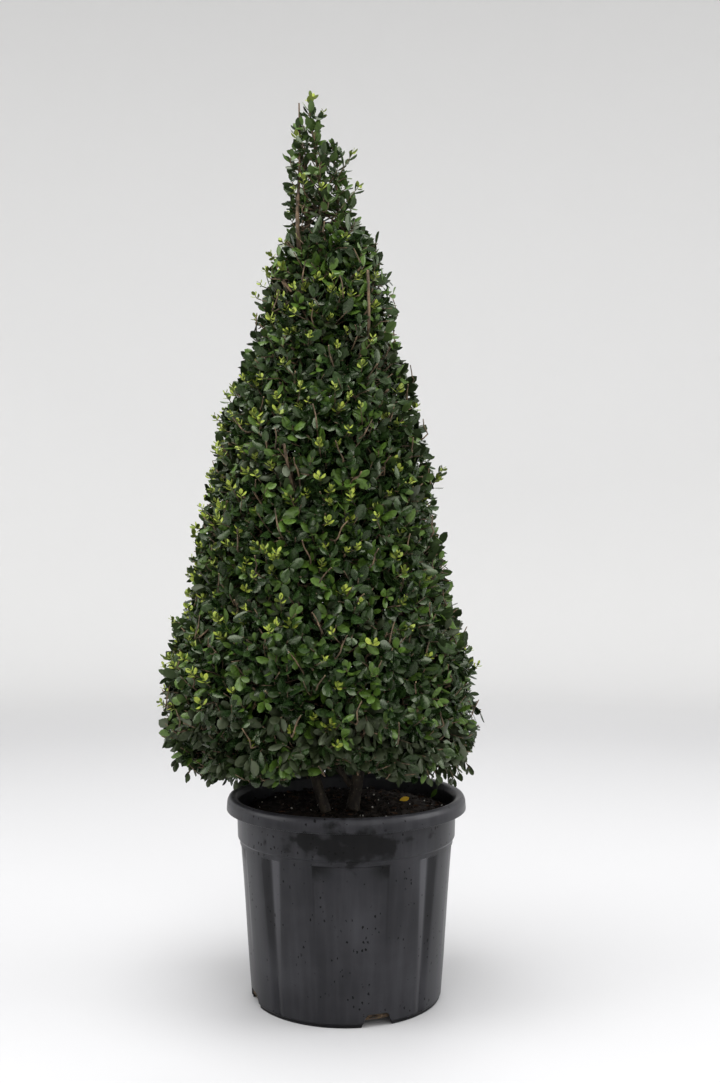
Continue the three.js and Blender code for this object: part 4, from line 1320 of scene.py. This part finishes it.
# %% [markdown]
# Above the clipping, three thin leaders end in loose shoots with sky between them. Each carries short
# twigs up its length, again turned by the golden angle, and a few leaves at its very end.
# %% Open tip
TIP_TWIGS = 11
TIP_TWIG_LENGTH = (24, 7)
TIP_TWIG_LIFT = 0.8
TIP_KNEE = 8
TIP_SAG = 1.5
TIP_END_DEPTH = 24
TIP_STRAIGHT = 20
TIP_RINGS = 24
TIP_FIRST = 0.6
TIP_SEED = 900
TIP_LEADERS = {
    "trunk": (-16, 9, 986), "second_stem": (-54, 8, 1009), "left_leader": (-42, -8, CROWN_TOP),
}
TIP_KINDS = ("green", "deep", "green", "lively")
TIP_LEAF = (12, 17)
TOP_LEAF = 11
TOP_REACH = 30
TOP_SHOOT = ((0, 0, 0), (1, 0, 6), (3, 0, 13))
TIP_SPRAYS = 95
TIP_SPRAY_SEED = 7000
TIP_SPRAY_DEPTH = (3, 16)
TIP_SPRAY_LIFT = 0.9
TIP_SPRAY_BACK = 30
TIP_SPRAY_BEND = 10
TIP_GAPS = 0.6
TIP_FRESH = 0.4
tip_lines = []


def open_tip(number, leader):
    """The thin end of one leader, with its twigs and leaves."""
    deal = dealer(TIP_SEED + number)
    last, end = limb_lines[leader][-2:]
    top = np.array(TIP_LEADERS[leader], float) - UP * TIP_END_DEPTH
    stem = smooth_line((end, end + unit(end - last) * TIP_STRAIGHT, top), TIP_RINGS)
    tip_lines.append(stem[::2])
    first = deal() * math.pi
    for k in range(TIP_TWIGS):
        share = (k + TIP_FIRST) / TIP_TWIGS
        root = stem[round(share * TIP_RINGS)]
        heading = first + k * GOLDEN_TURN
        grow = unit(np.array((math.cos(heading), math.sin(heading), TIP_TWIG_LIFT)))
        tip = root + grow * mix(*TIP_TWIG_LENGTH, share)
        if not inside(tip):
            continue
        line = smooth_line((root, root + grow * TIP_KNEE - UP * TIP_SAG, tip), FINE_STEPS)
        fine_lines.append(line)
        kind = TIP_KINDS[int(deal() * len(TIP_KINDS))]
        spray(kind, line, mix(*TIP_LEAF, deal()), deal, stray=6, count=6)
    if leader == "left_leader":
        shoot = smooth_line(stem[-1] + TOP_SHOOT, len(TOP_SHOOT) - 1)
        young_shoot(shoot, TOP_LEAF, deal, TOP_REACH, count=6, spread=(0.4, 1.0), spacing=(1.5, 4))
    kind = "green" if leader == "second_stem" else "lively"
    size = mix(*TIP_LEAF, deal())
    spray(kind, stem, size, deal, TOP_REACH, count=14, spread=(0.25, 1.0), spacing=(3, 8))


def tip_spray(index):
    """A short upright twig with leaves, between the leaders of the tip."""
    deal = dealer(TIP_SPRAY_SEED + index)
    radius, height, outward, upward = tip_surface.at((index + 0.5) / TIP_SPRAYS)
    heading = index * GOLDEN_TURN + swing(deal, FINE_SCATTER)
    if deal() < TIP_GAPS * smooth_step(TIP_FOOT, CROWN_TOP, height):
        return
    along = outward_way(heading, outward, upward) + UP * TIP_SPRAY_LIFT
    along = jittered(unit(along), deal, FINE_TILT)
    tip = crown_point(heading, radius, height) - along * mix(*TIP_SPRAY_DEPTH, deal())
    goal = tip - along * TIP_SPRAY_BACK
    root = min(np.concatenate(tip_lines), key=lambda place: np.linalg.norm(place - goal))
    line = smooth_line((root, tip - along * TIP_SPRAY_BEND, tip), FINE_STEPS)
    fine_lines.append(line)
    spray(leaf_kind(tip, deal), line, mix(*TIP_LEAF, deal()), deal, stray=3, count=5)
    if deal() < TIP_FRESH:
        fresh_shoot(tip, along, heading, height, deal, 0)


for number, leader in enumerate(TIP_LEADERS):
    open_tip(number, leader)
for index in range(TIP_SPRAYS):
    tip_spray(index)
print("leaves with the tip:", {kind: len(kept) for kind, kept in leaves.items()})

# %% [markdown]
# A leaf is a thin closed blade of sixteen faces: blunt, widest past its middle, folded a little along
# its midrib and bowed towards its tip. Its edge is marked sharp, so the glossy upper side and the
# pale underside each shade smoothly. The upper and lower faces have a finish each.
# %% Leaf blades
LEAF_STATIONS = ((0.27, 0.37), (0.57, 0.5), (0.84, 0.35))
LEAF_THICKNESS = 0.35
LEAF_TOP = (
    (0, 3, 2), (0, 2, 1), (2, 3, 6, 5), (1, 2, 5, 4), (5, 6, 9, 8), (4, 5, 8, 7), (8, 9, 10), (7, 8, 10),
)
LEAF_UNDER = (
    (0, 11, 3), (0, 1, 11), (11, 12, 6, 3), (1, 4, 12, 11),
    (12, 13, 9, 6), (4, 7, 13, 12), (13, 10, 9), (7, 10, 13),
)
LEAF_EDGE = ((0, 1), (1, 4), (4, 7), (7, 10), (10, 9), (9, 6), (6, 3), (3, 0))
LEAVES_A_PIECE = 8000
# Two shades and the roughness of each kind.
LEAF_COLOURS = {
    "deep": ((0.005, 0.013, 0.003), (0.010, 0.024, 0.006), 0.21),
    "green": ((0.010, 0.024, 0.005), (0.021, 0.045, 0.010), 0.22),
    "lively": ((0.043, 0.083, 0.012), (0.074, 0.138, 0.020), 0.26),
    "dull": ((0.011, 0.017, 0.006), (0.022, 0.030, 0.012), 0.36),
    "young": ((0.17, 0.235, 0.028), (0.32, 0.37, 0.050), 0.42),
    "fallen": ((0.62, 0.36, 0.025), (0.74, 0.48, 0.05), 0.45),
}
WAX_TINT = rgb(0.90, 1.0, 0.72)
PALE_UNDER = np.array((0.050, 0.076, 0.028))
UNDER_ROUGHNESS = 0.6
# Kind, place, direction and length of two leaves low down on the soil.
GROUND_LEAVES = (
    ("fallen", (61, 26), (0.9, 0.2, 0.3), 12),
    ("lively", (98, 40), (0.5, 0.1, 0.8), 13),
)
GROUND_FACE = unit(np.array((-0.2, -0.5, 1)))
GROUND_LIFT = 3.5
GROUND_SHAPE = (9, 0.1, 0.1)
foliage_nodes = sorted(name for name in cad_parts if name.startswith("foliage_"))


def leaf_places(kept):
    """Places of the corners of many leaves, one row of fourteen each."""
    root, reach, face = (np.array([leaf[part] for leaf in kept]) for part in range(3))
    length, width, fold, bow = (np.array([leaf[part] for leaf in kept])[:, None] for part in range(3, 7))
    right = np.cross(reach, face)
    corners = []

    def corner(along, across, drop=0.0):
        lift = -bow * length * along ** 2 - fold * width * abs(across) - drop
        corners.append(root + reach * length * along + right * width * across + face * lift)

    corner(0.0, 0.0)
    for along, half in LEAF_STATIONS:
        for across in (-half, 0.0, half):
            corner(along, across)
    corner(1.0, 0.0)
    for along, _ in LEAF_STATIONS:
        corner(along, 0.0, LEAF_THICKNESS)
    return np.stack(corners, axis=1)


def leaf_finish(name, colour, tint, roughness):
    """Waxy leaf: a plain green with small flecks of a second green."""
    finish = Finish(name, Specular_IOR_Level=0.40, Specular_Tint=WAX_TINT)
    flecks = grain(finish.place, 260, 3).step(0.3, 0.7)
    finish.feed("Base Color", blend(flecks, rgb(*colour), rgb(*tint)))
    finish.feed("Roughness", roughness + flecks * 0.12)
    finish.bump(grain(finish.place, 520, 3), 0.25, 0.0005)
    return finish


for kind, (x, y), way, length in GROUND_LEAVES:
    ground = np.array((x, y, soil_height(x, y) + GROUND_LIFT))
    leaves[kind].append((ground, unit(np.array(way)), GROUND_FACE, length, *GROUND_SHAPE))
for kind, kept in leaves.items():
    *colours, roughness = LEAF_COLOURS[kind]
    under_colours = [(colour + PALE_UNDER) / 2 for colour in colours]
    finishes = [
        leaf_finish(f"{kind}_leaf", *colours, roughness),
        leaf_finish(f"{kind}_leaf_under", *under_colours, UNDER_ROUGHNESS),
    ]
    places = leaf_places(kept)
    face_finish = [0] * len(LEAF_TOP) + [1] * len(LEAF_UNDER)
    for number, start in enumerate(range(0, len(kept), LEAVES_A_PIECE), 1):
        part = places[start:start + LEAVES_A_PIECE]
        name = f"leaves_{kind}_{number}"
        piece = joined(name, part, LEAF_TOP + LEAF_UNDER, finishes, face_finish, LEAF_EDGE)
        stands_for(piece, "foliage", *foliage_nodes)
        print(name, len(part), "leaves")

# %% [markdown]
# Twigs are thin tapering tubes. All twigs of one kind have the same number of rings and sides, so
# they are joined copies too, with closed ends.
# %% Twigs
# Name, lines, sides, and the radii of the two ends.
TUBES = (
    ("mass_stems", [smooth_line(line, TUBE_RINGS) for line in mass_lines.values()], 8, (2.4, 1.8)),
    ("main_twigs", [line for _, line in main_twigs if inside(line[-1], OVERHANG)], 6, (1.7, 1.1)),
    ("tip_stems", tip_lines, 7, (2.5, 0.9)),
    ("fine_twigs", fine_lines, 4, (0.85, 0.5)),
)


def tubes(name, lines, sides, girth, finish, nodes):
    """One piece of many twigs that taper from the first girth to the last."""
    rings = len(lines[0])
    angles = np.arange(sides)[:, None] * FULL_TURN / sides
    radii = np.linspace(*girth, rings)[:, None, None]
    copies = []
    for line in lines:
        turns = np.array(ring_frames(line))[:, None]
        ways = turns[..., 0] * np.cos(angles) + turns[..., 1] * np.sin(angles)
        copies.append((line[:, None, :] + radii * ways).reshape(-1, 3))
    faces = []
    for first in range(0, (rings - 1) * sides, sides):
        for k in range(sides):
            a, b = first + k, first + (k + 1) % sides
            faces.append((a, b, b + sides, a + sides))
    last = (rings - 1) * sides
    faces += [range(sides - 1, -1, -1), range(last, last + sides)]
    piece = joined(name, copies, faces, [finish])
    stands_for(piece, "bark", *nodes)
    print(name, len(lines), "twigs,", len(piece.data.polygons), "faces")
    return piece


twig_bark = stem_bark("twig_bark", rgb(0.045, 0.031, 0.019), rgb(0.175, 0.120, 0.072), 260)
shoot_bark = stem_bark("shoot_bark", rgb(0.075, 0.080, 0.025), rgb(0.16, 0.17, 0.055), 300)
for name, lines, sides, girth in TUBES:
    tubes(name, lines, sides, girth, twig_bark, foliage_nodes)
tubes("fresh_shoots", shoot_lines, 4, girth=(0.6, 0.45), finish=shoot_bark, nodes=foliage_nodes)

# %% [markdown]
# Clipping leaves bare stubs between the leaves, with pale cut ends. Each stub runs on from a main
# twig nearly to the clipped surface. Its last face has a finish of its own. Fine roots show in the
# drain notches, as thin lines just inside the wall.
# %% Clipped stubs and roots
STUBS = 270
STUB_SEED = 12000
STUB_OUT = 0.6
STUB_TILT = 0.6
STUB_BEND = 24
STUB_KINK = 0.2
STUB_KINK_SHARE = (0.3, 0.6)
STUB_FOOT = 300
STUB_DEPTH = (-3, 7)
STUB_SIDES = 7
THICK_STUBS = (
    ((-9, 10, 690), (20, -52, 722), (25, -65, 752), (24, -51, 806)),
    ((-31, -11, 520), (-52, -92, 556), (-58, -108, 580), (-64, -112, 612)),
    ((-31, -11, 560), (-40, -70, 600), (-38, -86, 640), (-36, -90, 668)),
)
LEFT_TIP_STEM = (
    (-42, 9, 790), (-51, -18, 828), (-54, -27, 862), (-54, -10, 900), (-53, 5, 950), (-54, 6, 1009),
)
ROOTS = 5 * PATTERN_REPEATS
ROOT_RADIUS = 105.3
ROOT_SPREAD = 0.12
ROOT_SCATTER = 0.1
ROOT_HEIGHTS = (7, 13)


def stub_line(index):
    """Places of one clipped stub."""
    deal = dealer(STUB_SEED + index)
    radius, height, outward, upward = crown_surface.at((index + 0.5) / STUBS)
    heading = turned(index * GOLDEN_TURN)
    out = outward_way(heading, outward, upward)
    along = jittered(unit(out * STUB_OUT + UP), deal, STUB_TILT)
    tip = crown_point(heading, radius, height) - out * mix(*STUB_DEPTH, deal())
    parent = nearest_twig(tip, mass_of(heading, radius, height))
    root = parent[round(deal() * TUBE_RINGS / 2)]
    kink = jittered(along, deal, STUB_KINK) * STUB_BEND * mix(*STUB_KINK_SHARE, deal())
    return smooth_line((root, tip - along * STUB_BEND, tip - kink, tip), TUBE_RINGS)


def root_line(number):
    """Places of one root, which shows in a notch."""
    deal = dealer(STUB_SEED + STUBS + number)
    middle = NOTCH_HEADING + (number % PATTERN_REPEATS) * FULL_TURN / PATTERN_REPEATS
    places = []
    for share in (-1, 0, 1):
        heading = middle + share * ROOT_SPREAD + swing(deal, ROOT_SCATTER)
        x, y = ROOT_RADIUS * math.sin(heading), -ROOT_RADIUS * math.cos(heading)
        places.append((x, y, mix(*ROOT_HEIGHTS, deal())))
    return smooth_line(places, TUBE_RINGS)


cut_wood = Finish("cut_wood", Specular_IOR_Level=0.2)
rings = grain(cut_wood.place, 900)
cut_wood.feed("Base Color", blend(rings, rgb(0.30, 0.20, 0.11), rgb(0.46, 0.34, 0.20)))
cut_wood.feed("Roughness", 0.8 + rings * 0.15)
stubs = [line for line in map(stub_line, range(STUBS)) if line[:, 2].min() > STUB_FOOT]
for name, lines, girth in (
    ("clipped_twigs", stubs, (1.05, 0.55)),
    ("clipped_stems", [smooth_line(places, TUBE_RINGS) for places in THICK_STUBS], (2.1, 1.5)),
    ("left_tip_stem", [smooth_line(LEFT_TIP_STEM, 2 * TUBE_RINGS)], (3.4, 0.9)),
):
    piece = tubes(name, lines, STUB_SIDES, girth, twig_bark, foliage_nodes)
    piece.data.materials.append(cut_wood.material)
    faces_each = len(piece.data.polygons) // len(lines)
    for end in list(piece.data.polygons)[faces_each - 1::faces_each]:
        end.material_index = 1
        end.use_smooth = False
roots = [root_line(number) for number in range(ROOTS)]
tubes("root_fibres", roots, 4, girth=(0.45, 0.3), finish=twig_bark, nodes=["soil"])
